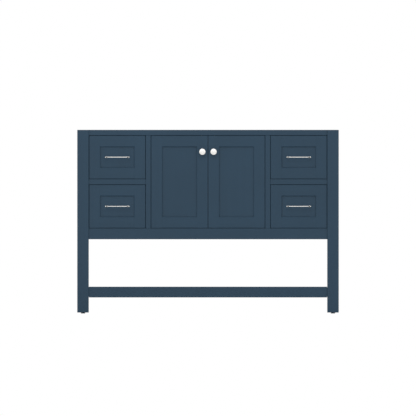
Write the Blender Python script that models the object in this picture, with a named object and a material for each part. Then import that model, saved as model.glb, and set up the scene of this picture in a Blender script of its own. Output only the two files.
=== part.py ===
"""A freestanding bathroom vanity cabinet on four square legs.

Two doors stand in the middle, with a column of two drawers on either side and an open shelf
between the legs. The cabinet has no worktop: a basin top rests on its upper edges.

Metres, +Z up. X runs along the width and the front faces -Y. The origin lies on the floor,
below the middle of the whole cabinet, handles included.
"""

from math import pi

import bmesh
import bpy
from mathutils import Matrix, Vector

# Overall size, over the legs
WIDTH = 1.1938
HEIGHT = 0.8382
DEPTH = 0.5461
HANDLE_REACH = 0.025  # how far a knob stands in front of its door

# Legs and their levelling feet
POST = 0.0526
POST_CHAMFER = 0.0020
FOOT_HEIGHT = 0.0040
FOOT_RADIUS = 0.0100
STEM_RADIUS = 0.0040
STEM_LENGTH = 0.0340
BORE_RADIUS = 0.0044
BORE_DEPTH = 0.0450

# Front frame
SETBACK = 0.0040  # every rail and panel lies this far behind the faces of the legs
RAIL_DEPTH = 0.0220
TOP_RAIL = 0.0248
BOTTOM_RAIL = 0.0499
CASE_BOTTOM = 0.3388
DIVIDER_BOTTOM = 0.5889
DIVIDER_RAIL = 0.0244
MULLION_INNER = 0.2612
MULLION = 0.0231

# Doors and drawer fronts, set in flush with the front frame
REVEAL = 0.0020
FRONT_THICKNESS = 0.0200
FRAME_MEMBER = 0.0508
RECESS = 0.0060
PANEL_THICKNESS = 0.0060
GROOVE_DEPTH = 0.0080
PANEL_BITE = 0.0070
INNER_CHAMFER = 0.0015

# Boards
EDGE = 0.0008
SIDE_THICKNESS = 0.0180
SIDE_TOP_BAND = 0.0508
PARTITION = 0.0160
FLOOR_BOARD = 0.0160
BACK_THICKNESS = 0.0090
REAR_RAIL = (0.0180, 0.0500)  # thickness and height

# Lower shelf
STRETCHER_BOTTOM = 0.0731
STRETCHER = 0.0491
SHELF_BOARD = 0.0160
SHELF_DROP = 0.0025  # the board lies this far below the stretchers' upper edges

# Drawer boxes and their runners
BOX_HEIGHT = 0.1400
BOX_LIFT = 0.0200  # from a drawer front's lower edge to its box
BOX_LENGTH = 0.4800
BOX_WALL = 0.0120
BOX_FLOOR = 0.0180  # thickness and rebate of the bottom together
RUNNER_SPACE = 0.0127
RUNNER_LENGTH = 0.4950
RUNNER_HEIGHT = 0.0450
RUNNER_DEPTH = 0.0095
RUNNER_SHEET = 0.0015
RUNNER_LIFT = 0.0650  # from a drawer front's lower edge to the middle of its runners

# Concealed cup hinges
CUP_RADIUS = 0.0175
CUP_DEPTH = 0.0125
CUP_FLANGE = 0.0025
CUP_SHEET = 0.0015
CUP_INSET = 0.0225  # from the door's edge to the middle of the cup
HINGE_INSET = 0.0700  # from the door's upper and lower edges
ARM_WIDTH = 0.0180

# Handles
KNOB_INSET = 0.0246  # from the door's closing edge
KNOB_DROP = 0.1002  # from the top of the cabinet
PULL_SPACING = 0.0960
PULL_LENGTH = 0.1130
PULL_AXIS = 0.0205  # from the drawer front's face to the middle of the bar

GAP = 0.0003  # between pieces that touch
TURNED_STEPS = 32
BAR_STEPS = 16

# Places worked out from the sizes above
LENGTH_OVER_ALL = DEPTH + HANDLE_REACH - SETBACK
BACK_Y = LENGTH_OVER_ALL / 2
FRONT_Y = BACK_Y - DEPTH
FACE_Y = FRONT_Y + SETBACK
FRAME_BACK_Y = FACE_Y + RAIL_DEPTH
FRONTS_BACK_Y = FACE_Y + FRONT_THICKNESS
REAR_FACE_Y = BACK_Y - SETBACK
REAR_INNER_Y = REAR_FACE_Y - REAR_RAIL[0]
POST_INNER_X = WIDTH / 2 - POST
SIDE_INNER_X = WIDTH / 2 - SETBACK - SIDE_THICKNESS
MULLION_OUTER = MULLION_INNER + MULLION
FLOOR_TOP = CASE_BOTTOM + BOTTOM_RAIL
DIVIDER_TOP = DIVIDER_BOTTOM + DIVIDER_RAIL
OPENING_TOP = HEIGHT - TOP_RAIL
DOOR_BOTTOM = FLOOR_TOP + REVEAL
DOOR_TOP = OPENING_TOP - REVEAL
DOOR_HINGE_X = MULLION_INNER - REVEAL
DOOR_CLOSING_X = REVEAL / 2
DRAWER_INNER_X = MULLION_OUTER + REVEAL
DRAWER_OUTER_X = POST_INNER_X - REVEAL

# Finishes: colour, roughness, metallic
PAINT = ((0.038, 0.067, 0.098), 0.45, 0.0)
BIRCH = ((0.610, 0.440, 0.260), 0.55, 0.0)
NICKEL = ((0.560, 0.550, 0.530), 0.30, 1.0)
ZINC = ((0.480, 0.490, 0.500), 0.35, 1.0)
NYLON = ((0.030, 0.030, 0.032), 0.60, 0.0)

SIDES = {"left": -1, "right": 1}
LEVELS = {
    "upper": (DIVIDER_TOP + REVEAL, DOOR_TOP),
    "lower": (DOOR_BOTTOM, DIVIDER_BOTTOM - REVEAL),
}


def clear_scene():
    for old in list(bpy.data.objects):
        bpy.data.objects.remove(old, do_unlink=True)


def finish_material(name, finish):
    """A Principled material in a finish's colour, roughness and metallic value."""
    colour, roughness, metallic = finish
    made = bpy.data.materials.new(name)
    made.use_nodes = True
    shader = made.node_tree.nodes["Principled BSDF"]
    shader.inputs["Base Color"].default_value = (*colour, 1.0)
    shader.inputs["Roughness"].default_value = roughness
    shader.inputs["Metallic"].default_value = metallic
    return made


def add_piece(name, shape, place, finish, parent=None, smooth=False):
    """Turns a bmesh into a named object with its origin at a place in the world."""
    bmesh.ops.recalc_face_normals(shape, faces=shape.faces)
    mesh = bpy.data.meshes.new(name)
    shape.to_mesh(mesh)
    shape.free()
    mesh.materials.append(finish_material(f"{name}_finish", finish))
    if smooth:
        mesh.shade_smooth()
        mesh.set_sharp_from_angle(angle=pi / 6)
    piece = bpy.data.objects.new(name, mesh)
    bpy.context.scene.collection.objects.link(piece)
    piece.location = Vector(place)
    if parent:
        piece.parent = parent
        piece.location -= parent.location
    return piece


def add_axis(name, place):
    """An empty that stands on a joint's axis and carries what moves with it."""
    axis = bpy.data.objects.new(name, None)
    axis.empty_display_size = 0.05
    axis.location = place
    bpy.context.scene.collection.objects.link(axis)
    return axis


def box(size, chamfer=EDGE):
    """A box about its own middle, with its edges broken by a small chamfer."""
    shape = bmesh.new()
    bmesh.ops.create_cube(shape, size=1.0)
    bmesh.ops.scale(shape, vec=size, verts=shape.verts)
    if chamfer:
        bmesh.ops.bevel(shape, geom=shape.edges[:], offset=chamfer, segments=1, affect="EDGES")
    return shape


def board(name, low, high, finish, parent=None):
    """A straight board between two opposite corners."""
    low, high = Vector(low), Vector(high)
    return add_piece(name, box(high - low), (low + high) / 2, finish, parent)


def prism(outline, length, turn=None):
    """An outline in the XY plane pushed up by a length, then turned as a whole."""
    shape = bmesh.new()
    face = shape.faces.new([shape.verts.new((x, y, 0.0)) for x, y in outline])
    pushed = bmesh.ops.extrude_face_region(shape, geom=[face])["geom"]
    top = [part for part in pushed if isinstance(part, bmesh.types.BMVert)]
    bmesh.ops.translate(shape, vec=(0.0, 0.0, length), verts=top)
    if turn:
        bmesh.ops.transform(shape, matrix=turn, verts=shape.verts)
    return shape


def turned(profile, turn=None, steps=TURNED_STEPS):
    """A solid of revolution about Z from points of radius and height, then turned as a whole."""
    shape = bmesh.new()
    points = [shape.verts.new((radius, 0.0, height)) for radius, height in profile]
    line = [shape.edges.new(pair) for pair in zip(points, points[1:])]
    bmesh.ops.spin(
        shape, geom=points + line, axis=(0, 0, 1), cent=(0, 0, 0), angle=2 * pi, steps=steps
    )
    bmesh.ops.remove_doubles(shape, verts=shape.verts, dist=1e-6)
    if turn:
        bmesh.ops.transform(shape, matrix=turn, verts=shape.verts)
    return shape


def rings(width, height, profile, upright=True, hollow=False):
    """Rectangles inset from one outline and stacked in depth, joined into a solid.

    The profile gives an inset and a depth for each rectangle. A hollow stack closes on itself,
    like a picture frame, and any other is capped at both ends. An upright stack stands in the
    XZ plane with its depth along +Y, and a flat one lies in the XY plane with its depth up.
    """
    shape = bmesh.new()
    stack = []
    for inset, depth in profile:
        u, v = width / 2 - inset, height / 2 - inset
        corners = [(-u, -v), (u, -v), (u, v), (-u, v)]
        stack.append([
            shape.verts.new((a, depth, b) if upright else (a, b, depth)) for a, b in corners
        ])
    for near, far in zip(stack, stack[1:] + (stack[:1] if hollow else [])):
        for n in range(4):
            shape.faces.new((near[n - 1], near[n], far[n], far[n - 1]))
    if not hollow:
        shape.faces.new(stack[0])
        shape.faces.new(stack[-1])
    return shape


def combined(shape, tool, operation):
    """One shape cut by or united with another, by Blender's exact Boolean."""
    holders = []
    for part in (shape, tool):
        bmesh.ops.recalc_face_normals(part, faces=part.faces)
        mesh = bpy.data.meshes.new("working_mesh")
        part.to_mesh(mesh)
        part.free()
        holders.append(bpy.data.objects.new("working_shape", mesh))
        bpy.context.scene.collection.objects.link(holders[-1])
    boolean = holders[0].modifiers.new("combine", "BOOLEAN")
    boolean.operation, boolean.object, boolean.solver = operation, holders[1], "EXACT"
    result = bmesh.new()
    result.from_object(holders[0], bpy.context.evaluated_depsgraph_get())
    for holder in holders:
        bpy.data.objects.remove(holder, do_unlink=True)
    return result


def legs():
    """Four square legs, each bored from below for the stem of its levelling foot."""
    height = HEIGHT - FOOT_HEIGHT - GAP
    for end, y in (("front", FRONT_Y + POST / 2), ("rear", BACK_Y - POST / 2)):
        for side, sign in SIDES.items():
            x = sign * (WIDTH / 2 - POST / 2)
            bore = turned([(0, -BORE_DEPTH), (BORE_RADIUS, -BORE_DEPTH),
                           (BORE_RADIUS, BORE_DEPTH), (0, BORE_DEPTH)], steps=BAR_STEPS)
            bmesh.ops.translate(bore, vec=(0, 0, -height / 2), verts=bore.verts)
            post = combined(box((POST, POST, height), POST_CHAMFER), bore, "DIFFERENCE")
            add_piece(f"{end}_{side}_post", post, (x, y, HEIGHT - height / 2), PAINT)
            add_piece(f"{end}_{side}_leveller", leveller(), (x, y, 0), NYLON, smooth=True)


def leveller():
    """A round glide with the threaded stem that screws up into a leg."""
    rim = FOOT_HEIGHT / 4
    return turned([
        (0, 0), (FOOT_RADIUS - rim, 0), (FOOT_RADIUS, rim), (FOOT_RADIUS, FOOT_HEIGHT),
        (STEM_RADIUS, FOOT_HEIGHT), (STEM_RADIUS, FOOT_HEIGHT + STEM_LENGTH - rim),
        (STEM_RADIUS - rim, FOOT_HEIGHT + STEM_LENGTH), (0, FOOT_HEIGHT + STEM_LENGTH),
    ], steps=24)


def front_frame():
    """The rails and mullions that border the doors and drawers."""
    across = POST_INNER_X - GAP
    for name, bottom, top in (
        ("top_rail", OPENING_TOP, HEIGHT),
        ("bottom_rail", CASE_BOTTOM, FLOOR_TOP),
    ):
        board(name, (-across, FACE_Y, bottom), (across, FRAME_BACK_Y, top), PAINT)
    for side, sign in SIDES.items():
        near, far = sorted((sign * MULLION_INNER, sign * MULLION_OUTER))
        board(f"{side}_mullion", (near, FACE_Y, FLOOR_TOP + GAP),
              (far, FRAME_BACK_Y, OPENING_TOP - GAP), PAINT)
        near, far = sorted((sign * (MULLION_OUTER + GAP), sign * across))
        board(f"{side}_divider_rail", (near, FACE_Y, DIVIDER_BOTTOM),
              (far, FRAME_BACK_Y, DIVIDER_TOP), PAINT)


def side_panels():
    """A panel between the front and rear leg on each side, with its field recessed outside."""
    upright = Matrix.Rotation(pi / 2, 4, "X")
    length = DEPTH - 2 * POST - 2 * GAP
    height = HEIGHT - CASE_BOTTOM
    field_bottom, field_top = BOTTOM_RAIL, height - SIDE_TOP_BAND
    for side, sign in SIDES.items():
        outer, inner = 0.0, -sign * SIDE_THICKNESS
        field, lip = -sign * RECESS, -sign * INNER_CHAMFER
        outline = [
            (inner, 0.0), (outer, 0.0), (outer, field_bottom - INNER_CHAMFER),
            (lip, field_bottom), (field, field_bottom), (field, field_top), (lip, field_top),
            (outer, field_top + INNER_CHAMFER), (outer, height), (inner, height),
        ]
        add_piece(f"{side}_side_panel", prism(outline, length, upright),
                  (sign * (WIDTH / 2 - SETBACK), BACK_Y - POST - GAP, CASE_BOTTOM), PAINT)


def notched_board(name, half_width, front, rear, bottom, thickness, finish):
    """A board between the four legs, notched around each of them."""
    inner_x = POST_INNER_X - GAP
    post_front, post_rear = FRONT_Y + POST + GAP, BACK_Y - POST - GAP
    right = [(inner_x, front), (inner_x, post_front), (half_width, post_front),
             (half_width, post_rear), (inner_x, post_rear), (inner_x, rear)]
    outline = right + [(-x, y) for x, y in reversed(right)]
    add_piece(name, prism(outline, thickness), (0, 0, bottom), finish)


def case_boards():
    """The floor, partitions and back that stand behind the front frame."""
    rear = REAR_INNER_Y - GAP
    notched_board("cabinet_floor", SIDE_INNER_X - GAP, FRAME_BACK_Y + GAP, rear,
                  FLOOR_TOP - FLOOR_BOARD, FLOOR_BOARD, PAINT)
    for side, sign in SIDES.items():
        near, far = sorted((sign * (MULLION_OUTER - PARTITION), sign * MULLION_OUTER))
        board(f"{side}_partition", (near, FRAME_BACK_Y + GAP, FLOOR_TOP + GAP),
              (far, rear, HEIGHT), PAINT)
    across = POST_INNER_X - GAP
    rail_bottom = HEIGHT - REAR_RAIL[1]
    board("rear_top_rail", (-across, REAR_INNER_Y, rail_bottom), (across, REAR_FACE_Y, HEIGHT),
          PAINT)
    board("back_panel", (-across, REAR_INNER_Y, CASE_BOTTOM),
          (across, REAR_INNER_Y + BACK_THICKNESS, rail_bottom - GAP), PAINT)


def lower_shelf():
    """Four stretchers between the legs and the board that lies between them."""
    top = STRETCHER_BOTTOM + STRETCHER
    across = POST_INNER_X - GAP
    board("front_stretcher", (-across, FACE_Y, STRETCHER_BOTTOM), (across, FRAME_BACK_Y, top),
          PAINT)
    board("rear_stretcher", (-across, REAR_FACE_Y - RAIL_DEPTH, STRETCHER_BOTTOM),
          (across, REAR_FACE_Y, top), PAINT)
    outer = WIDTH / 2 - SETBACK
    for side, sign in SIDES.items():
        near, far = sorted((sign * (outer - RAIL_DEPTH), sign * outer))
        board(f"{side}_stretcher", (near, FRONT_Y + POST + GAP, STRETCHER_BOTTOM),
              (far, BACK_Y - POST - GAP, top), PAINT)
    notched_board("shelf_board", outer - RAIL_DEPTH - GAP, FRAME_BACK_Y + GAP,
                  REAR_FACE_Y - RAIL_DEPTH - GAP, top - SHELF_DROP - SHELF_BOARD, SHELF_BOARD,
                  PAINT)


def hinge_cup():
    """The round pot of a concealed hinge, with a flange that laps its bore in the door."""
    lip = CUP_RADIUS + CUP_FLANGE
    wall = CUP_RADIUS - CUP_SHEET
    face = GAP + CUP_SHEET
    profile = [
        (0, -CUP_DEPTH), (CUP_RADIUS, -CUP_DEPTH), (CUP_RADIUS, GAP), (lip, GAP), (lip, face),
        (wall, face), (wall, CUP_SHEET - CUP_DEPTH), (0, CUP_SHEET - CUP_DEPTH),
    ]
    return turned(profile, Matrix.Rotation(-pi / 2, 4, "X"), steps=24)


def hinge_arm(sign):
    """The fixed arm of a concealed hinge: a foot along the partition and a cranked nose.

    The outline is seen from above, from the nose behind the door's stile to the foot.
    """
    foot, spine, crest = 0.0, 0.0095, 0.0160
    outline = [
        (foot, 0.0220), (foot, 0.0720), (spine, 0.0720), (spine, 0.0230),
        (crest, 0.0150), (crest, 0.0), (0.0105, 0.0), (0.0105, 0.0120), (0.0050, 0.0220),
    ]
    return prism([(-sign * x, y) for x, y in outline], ARM_WIDTH)


def doors():
    """Two framed doors, each on its hinge axis at the front edge next to its mullion."""
    width, height = DOOR_HINGE_X - DOOR_CLOSING_X, DOOR_TOP - DOOR_BOTTOM
    middle_z = (DOOR_TOP + DOOR_BOTTOM) / 2
    for side, sign in SIDES.items():
        pivot = add_axis(f"{side}_door_axis", (sign * DOOR_HINGE_X, FACE_Y, middle_z))
        middle = Vector((sign * (DOOR_HINGE_X + DOOR_CLOSING_X) / 2, FACE_Y, middle_z))
        cup_x = sign * (DOOR_HINGE_X - CUP_INSET)
        heights = {"upper": DOOR_TOP - HINGE_INSET, "lower": DOOR_BOTTOM + HINGE_INSET}
        frame = door_frame(width, height)
        for cup_z in heights.values():
            bore = turned([(0, 0), (CUP_RADIUS + GAP, 0), (CUP_RADIUS + GAP, 2 * CUP_DEPTH),
                           (0, 2 * CUP_DEPTH)], Matrix.Rotation(-pi / 2, 4, "X"), steps=24)
            start = Vector((cup_x, FRONTS_BACK_Y - CUP_DEPTH - GAP, cup_z)) - middle
            bmesh.ops.translate(bore, vec=start, verts=bore.verts)
            frame = combined(frame, bore, "DIFFERENCE")
        add_piece(f"{side}_door_frame", frame, middle, PAINT, pivot)
        margin = FRAME_MEMBER - PANEL_BITE
        panel = rings(width - 2 * margin, height - 2 * margin,
                      [(0, RECESS), (0, RECESS + PANEL_THICKNESS)])
        add_piece(f"{side}_door_panel", panel, middle, PAINT, pivot)
        add_piece(f"{side}_door_knob", knob(),
                  (sign * (DOOR_CLOSING_X + KNOB_INSET), FACE_Y, HEIGHT - KNOB_DROP),
                  NICKEL, pivot, smooth=True)
        for level, cup_z in heights.items():
            add_piece(f"{side}_{level}_hinge_cup", hinge_cup(), (cup_x, FRONTS_BACK_Y, cup_z),
                      NICKEL, pivot, smooth=True)
            arm_x = sign * (MULLION_OUTER - PARTITION - GAP)
            add_piece(f"{side}_{level}_hinge_arm", hinge_arm(sign),
                      (arm_x, FRAME_BACK_Y + GAP, cup_z - ARM_WIDTH / 2), NICKEL)


def door_frame(width, height):
    """Stiles and rails around an opening, grooved inside for the panel."""
    groove_front, groove_back = RECESS - GAP, RECESS + PANEL_THICKNESS + GAP
    groove = FRAME_MEMBER - GROOVE_DEPTH
    return rings(width, height, [
        (0, EDGE), (EDGE, 0), (FRAME_MEMBER - INNER_CHAMFER, 0), (FRAME_MEMBER, INNER_CHAMFER),
        (FRAME_MEMBER, groove_front), (groove, groove_front), (groove, groove_back),
        (FRAME_MEMBER, groove_back), (FRAME_MEMBER, FRONT_THICKNESS), (EDGE, FRONT_THICKNESS),
        (0, FRONT_THICKNESS - EDGE),
    ], hollow=True)


def knob():
    """A round mushroom knob with a slim neck."""
    profile = [
        (0, GAP), (0.0075, GAP), (0.0075, 0.0020), (0.0055, 0.0038), (0.0050, 0.0100),
        (0.0064, 0.0140), (0.0116, 0.0158), (0.0141, 0.0180), (0.0145, 0.0198),
        (0.0133, 0.0224), (0.0085, 0.0243), (0, HANDLE_REACH),
    ]
    return turned(profile, Matrix.Rotation(pi / 2, 4, "X"))


def pull():
    """A slim bar pull: a turned bar with a neck and a bead at each end, on two posts."""
    bar, neck, bead, end = 0.0026, 0.0018, 0.0030, PULL_LENGTH / 2
    post_x = PULL_SPACING / 2
    half = [
        (bar, post_x - 0.0036), (neck, post_x - 0.0028), (neck, post_x + 0.0020),
        (bead, post_x + 0.0032), (bead, end - 0.0014), (bead * 0.7, end - 0.0004), (0, end),
    ]
    profile = [(radius, -x) for radius, x in reversed(half)] + half
    shape = turned(profile, Matrix.Rotation(pi / 2, 4, "Y"), BAR_STEPS)
    start = GAP - RECESS
    foot = [
        (0, start), (0.0034, start), (0.0034, start + 0.0014), (0.0024, start + 0.0026),
        (0.0024, PULL_AXIS), (0, PULL_AXIS),
    ]
    bmesh.ops.translate(shape, vec=(0, -PULL_AXIS, 0), verts=shape.verts)
    for x in (-post_x, post_x):
        post = turned(foot, Matrix.Rotation(pi / 2, 4, "X"), BAR_STEPS)
        bmesh.ops.translate(post, vec=(x, 0, 0), verts=post.verts)
        shape = combined(shape, post, "UNION")
    return shape


def drawer_front(width, height):
    """A front with a recessed field, in one piece."""
    return rings(width, height, [
        (FRAME_MEMBER, RECESS), (FRAME_MEMBER, INNER_CHAMFER), (FRAME_MEMBER - INNER_CHAMFER, 0),
        (EDGE, 0), (0, EDGE), (0, FRONT_THICKNESS - EDGE), (EDGE, FRONT_THICKNESS),
    ])


def drawer_box(width):
    """An open box with its floor let in near the lower edge."""
    return rings(width, BOX_LENGTH, [
        (0, 0), (0, BOX_HEIGHT), (BOX_WALL, BOX_HEIGHT), (BOX_WALL, BOX_FLOOR),
    ], upright=False)


def runner(sign):
    """A channel that a drawer's sliding bar runs in, open towards the drawer."""
    wall, lip, half = sign * RUNNER_SHEET, sign * RUNNER_DEPTH, RUNNER_HEIGHT / 2
    outline = [
        (0, -half), (lip, -half), (lip, RUNNER_SHEET - half), (wall, RUNNER_SHEET - half),
        (wall, half - RUNNER_SHEET), (lip, half - RUNNER_SHEET), (lip, half), (0, half),
    ]
    return prism(outline, RUNNER_LENGTH, Matrix.Rotation(pi / 2, 4, "X"))


def drawers():
    """Four drawers, each with its front, box and pull, and the runners that carry it."""
    width = DRAWER_OUTER_X - DRAWER_INNER_X
    box_width = POST_INNER_X - MULLION_OUTER - 2 * RUNNER_SPACE
    box_x = (POST_INNER_X + MULLION_OUTER) / 2
    front_x = (DRAWER_OUTER_X + DRAWER_INNER_X) / 2
    for level, (bottom, top) in LEVELS.items():
        middle_z = (bottom + top) / 2
        for side, sign in SIDES.items():
            name = f"{level}_{side}"
            slide = add_axis(f"{name}_drawer_axis", (sign * front_x, FACE_Y, middle_z))
            add_piece(f"{name}_drawer_front", drawer_front(width, top - bottom),
                      slide.location, PAINT, slide)
            box_y = FRONTS_BACK_Y + GAP + BOX_LENGTH / 2
            add_piece(f"{name}_drawer_box", drawer_box(box_width),
                      (sign * box_x, box_y, bottom + BOX_LIFT), BIRCH, slide)
            add_piece(f"{name}_drawer_pull", pull(), slide.location, NICKEL, slide, smooth=True)
            rear_y = FRAME_BACK_Y + GAP + RUNNER_LENGTH
            for rank, x, facing in (("inner", MULLION_OUTER + GAP, sign),
                                    ("outer", POST_INNER_X - GAP, -sign)):
                add_piece(f"{name}_{rank}_runner", runner(facing),
                          (sign * x, rear_y, bottom + RUNNER_LIFT), ZINC)


def main():
    clear_scene()
    legs()
    front_frame()
    side_panels()
    case_boards()
    lower_shelf()
    doors()
    drawers()


main()
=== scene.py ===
"""Looks for a freestanding bathroom vanity cabinet: its joinery, fittings and finishes.

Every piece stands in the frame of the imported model, in metres: X along the width, the front
towards -Y and +Z up.
"""

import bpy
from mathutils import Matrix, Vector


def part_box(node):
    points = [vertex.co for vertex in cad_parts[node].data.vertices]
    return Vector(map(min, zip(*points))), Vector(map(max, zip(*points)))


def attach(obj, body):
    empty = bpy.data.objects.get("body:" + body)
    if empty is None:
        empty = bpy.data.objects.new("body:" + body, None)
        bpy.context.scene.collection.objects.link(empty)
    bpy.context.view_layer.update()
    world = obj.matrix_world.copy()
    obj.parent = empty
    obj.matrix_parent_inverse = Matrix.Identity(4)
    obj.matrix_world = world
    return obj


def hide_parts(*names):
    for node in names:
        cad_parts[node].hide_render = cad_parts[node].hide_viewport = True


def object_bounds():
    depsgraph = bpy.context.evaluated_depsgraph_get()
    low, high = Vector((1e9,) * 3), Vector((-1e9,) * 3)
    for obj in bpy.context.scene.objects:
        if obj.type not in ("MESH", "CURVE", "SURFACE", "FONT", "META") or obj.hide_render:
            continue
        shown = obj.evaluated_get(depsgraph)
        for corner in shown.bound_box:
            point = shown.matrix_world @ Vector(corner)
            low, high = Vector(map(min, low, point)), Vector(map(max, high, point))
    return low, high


bl_info = {
    "name": "Bathroom Vanity Cabinet",
    "version": (1, 0, 0),
    "blender": (4, 5, 0),
    "location": "3D View > Sidebar > Vanity",
    "description": "Builds the visible pieces of a vanity cabinet around its packed frame",
    "category": "Object",
}

from math import cos, pi, radians, sin

import bmesh
import bpy
from bpy.props import FloatProperty, FloatVectorProperty, IntProperty, PointerProperty
from mathutils import Matrix, Vector

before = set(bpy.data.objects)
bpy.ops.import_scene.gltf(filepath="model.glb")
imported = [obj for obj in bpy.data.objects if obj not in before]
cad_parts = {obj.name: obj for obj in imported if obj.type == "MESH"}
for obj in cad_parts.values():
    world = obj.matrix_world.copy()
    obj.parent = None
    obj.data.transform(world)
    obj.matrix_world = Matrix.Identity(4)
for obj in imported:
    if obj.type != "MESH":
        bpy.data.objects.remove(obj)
CAD_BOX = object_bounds()

SIDES = {"left": -1, "right": 1}
ENDS = ("front", "rear")
LEVELS = ("upper", "lower")
DOOR_LOW, DOOR_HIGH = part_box("left_door_frame")
FACE_Y, FRONTS_BACK_Y = DOOR_LOW.y, DOOR_HIGH.y
FRONT_THICKNESS = FRONTS_BACK_Y - FACE_Y
TOP_RAIL_LOW, TOP_RAIL_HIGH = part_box("top_rail")
GAP = 0.0003  # between pieces that touch


# ---------------------------------------------------------------------------------------------
# What a user may change


def length(name, description, default, low=0.0, high=1.0):
    return FloatProperty(name=name, description=description, default=default, min=low, max=high,
                         precision=4, unit="LENGTH")


def colour(name, description, default):
    return FloatVectorProperty(name=name, description=description, default=default, size=3,
                               min=0.0, max=1.0, subtype="COLOR")


def share(name, description, default):
    return FloatProperty(name=name, description=description, default=default, min=0.0, max=1.0,
                         subtype="FACTOR")


class VanityFinishes(bpy.types.PropertyGroup):
    """Colours and surface values of the finishes"""

    paint: colour("Paint", "Colour of the lacquer on the outside", (0.0132, 0.0440, 0.0790))
    paint_roughness: share("Paint Roughness", "Roughness of the satin lacquer", 0.46)
    mottling: share("Mottling", "How far the lacquer's tone wanders over a board", 0.05)
    birch: colour("Birch", "Light wood between the growth rings", (0.640, 0.470, 0.290))
    birch_ring: colour("Birch Rings", "Darker wood of the growth rings", (0.440, 0.270, 0.130))
    nickel: colour("Nickel", "Satin nickel of the knobs and hinges", (0.880, 0.870, 0.848))
    bar: colour("Pull Nickel", "Satin nickel of the pulls", (0.660, 0.650, 0.630))
    nickel_roughness: share("Nickel Roughness", "Roughness of the satin nickel", 0.22)
    # The pulls' collars are coloured dark as painted shade at the necks where the bar meets its
    # posts.
    dark_nickel: colour("Dark Nickel", "Blackened nickel of the pulls' collars",
                        (0.050, 0.048, 0.045))
    steel: colour("Steel", "Zinc-plated steel of the runners and screws", (0.520, 0.530, 0.545))
    steel_roughness: share("Steel Roughness", "Roughness of the zinc plate", 0.34)
    nylon: colour("Nylon", "Moulded nylon of the feet", (0.030, 0.030, 0.033))
    felt: colour("Felt", "Bumpers behind the doors", (0.330, 0.310, 0.280))


class VanityJoinery(bpy.types.PropertyGroup):
    """Sizes of the boards and joints"""

    edge_radius: length("Edge Radius", "Rounding of a board's edges", 0.0009)
    leg_radius: length("Leg Edge Radius", "Rounding of a leg's edges", 0.0020)
    member: length("Frame Member", "Width of the stiles and rails of doors and drawers", 0.0508)
    sticking: length("Sticking", "Width of the bevel around a panel", 0.0022)
    recess: length("Panel Recess", "Depth of a panel behind its frame", 0.0060)
    panel: length("Panel Thickness", "Thickness of a door's panel", 0.0060)
    groove: length("Groove Depth", "Depth of the groove that holds a panel", 0.0080)
    joint: length("Joint Line", "Width of the fine line between a stile and a rail", 0.0002)
    shadow: length("Shadow Line", "How far a frame member stops short of the next", 0.0006)
    shadow_depth: length("Shadow Line Depth", "Depth of the line where two members meet", 0.0040)
    side_top: length("Side Top Rail", "Height of a side's upper rail", 0.0508)
    side_bottom: length("Side Bottom Rail", "Height of a side's lower rail", 0.0499)
    box_wall: length("Box Wall", "Thickness of a drawer box's boards", 0.0120)
    box_bottom: length("Box Bottom", "Height of the upper face of a drawer's bottom", 0.0180)
    bottom_sheet: length("Bottom Sheet", "Thickness of a drawer's bottom", 0.0060)
    pins: IntProperty(name="Dovetail Pins", description="Pins at each corner of a drawer box",
                      default=4, min=1, max=12)
    pin_wide: length("Pin Base", "Width of a dovetail pin at its base", 0.0110)
    pin_narrow: length("Pin Tip", "Width of a dovetail pin at its end", 0.0075)
    brace: length("Corner Brace", "Side of a triangular corner brace", 0.0550)
    brace_thickness: length("Brace Thickness", "Thickness of a corner brace", 0.0160)
    lath: length("Lath Thickness", "Thickness of the laths behind the front frame", 0.0090)
    lath_overlap: length("Lath Overlap", "How far a lath reaches past a gap's edge", 0.0029)
    cleat: length("Shelf Cleat", "Width and height of a cleat below the shelf", 0.0200)


class VanityHardware(bpy.types.PropertyGroup):
    """Sizes of the metal and plastic fittings"""

    pull_spacing: length("Pull Spacing", "Distance between the posts of a pull", 0.0960)
    pull_bar: length("Pull Bar Radius", "Radius of a pull's bar", 0.0023)
    pull_neck: length("Pull Neck Radius", "Radius of a pull where its posts meet it", 0.0016)
    pull_collar: length("Pull Collar Radius", "Radius of a pull's collars at its posts", 0.0020)
    knob_ring: length("Knob Ring", "Radius of the fine ring turned into a knob's face", 0.0062)
    screw_head: length("Screw Head", "Radius of a pan-head screw's head", 0.0036)
    handle_screw: length("Handle Screw", "Radius of the screw heads behind a handle", 0.0044)
    hinge_screw: length("Hinge Screw", "Radius of the screw heads in a hinge", 0.0034)
    runner_screw: length("Runner Screw", "Radius of the screw heads in a runner", 0.0032)
    nail_head: length("Nail Head", "Radius of the nail heads in the back", 0.0017)
    nail_pitch: length("Nail Pitch", "Distance between the nails in the back", 0.0900)
    thread_pitch: length("Thread Pitch", "Pitch of the levelling foot's thread", 0.00125)
    runner_sheet: length("Runner Sheet", "Thickness of the runner's steel", 0.0012)
    ball: length("Ball Radius", "Radius of the balls in a runner", 0.0030)
    balls: IntProperty(name="Balls", description="Balls in each row of a runner", default=8,
                       min=1, max=40)
    bore_radius: length("Leg Bore", "Radius of the bore in a leg's foot", 0.0044)
    bore_depth: length("Leg Bore Depth", "Depth of the bore in a leg's foot", 0.0450)


class VanityStage(bpy.types.PropertyGroup):
    """Floor, light and camera"""

    floor: colour("Floor", "Colour of the plain floor", (0.900, 0.900, 0.895))
    backdrop: FloatProperty(name="Backdrop", description="Brightness of the plain backdrop",
                            default=1.0, min=0.0)
    fill: FloatProperty(name="Fill", description="Brightness of the even light all around",
                        default=0.83, min=0.0)
    gleam: FloatProperty(name="Gleam", description="Brightness of what polished metal mirrors",
                         default=1.10, min=0.0)
    key: FloatProperty(name="Key", description="Power of the large soft light in front",
                       default=76.0, min=0.0, unit="POWER")
    view_width: length("View Width", "Width that the camera takes in", 1.899, high=10.0)
    view_height: length("View Height", "Height of the camera above the floor", 0.4815, high=10.0)


def finishes():
    return bpy.context.scene.vanity_finishes


def joinery():
    return bpy.context.scene.vanity_joinery


def hardware():
    return bpy.context.scene.vanity_hardware


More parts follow.
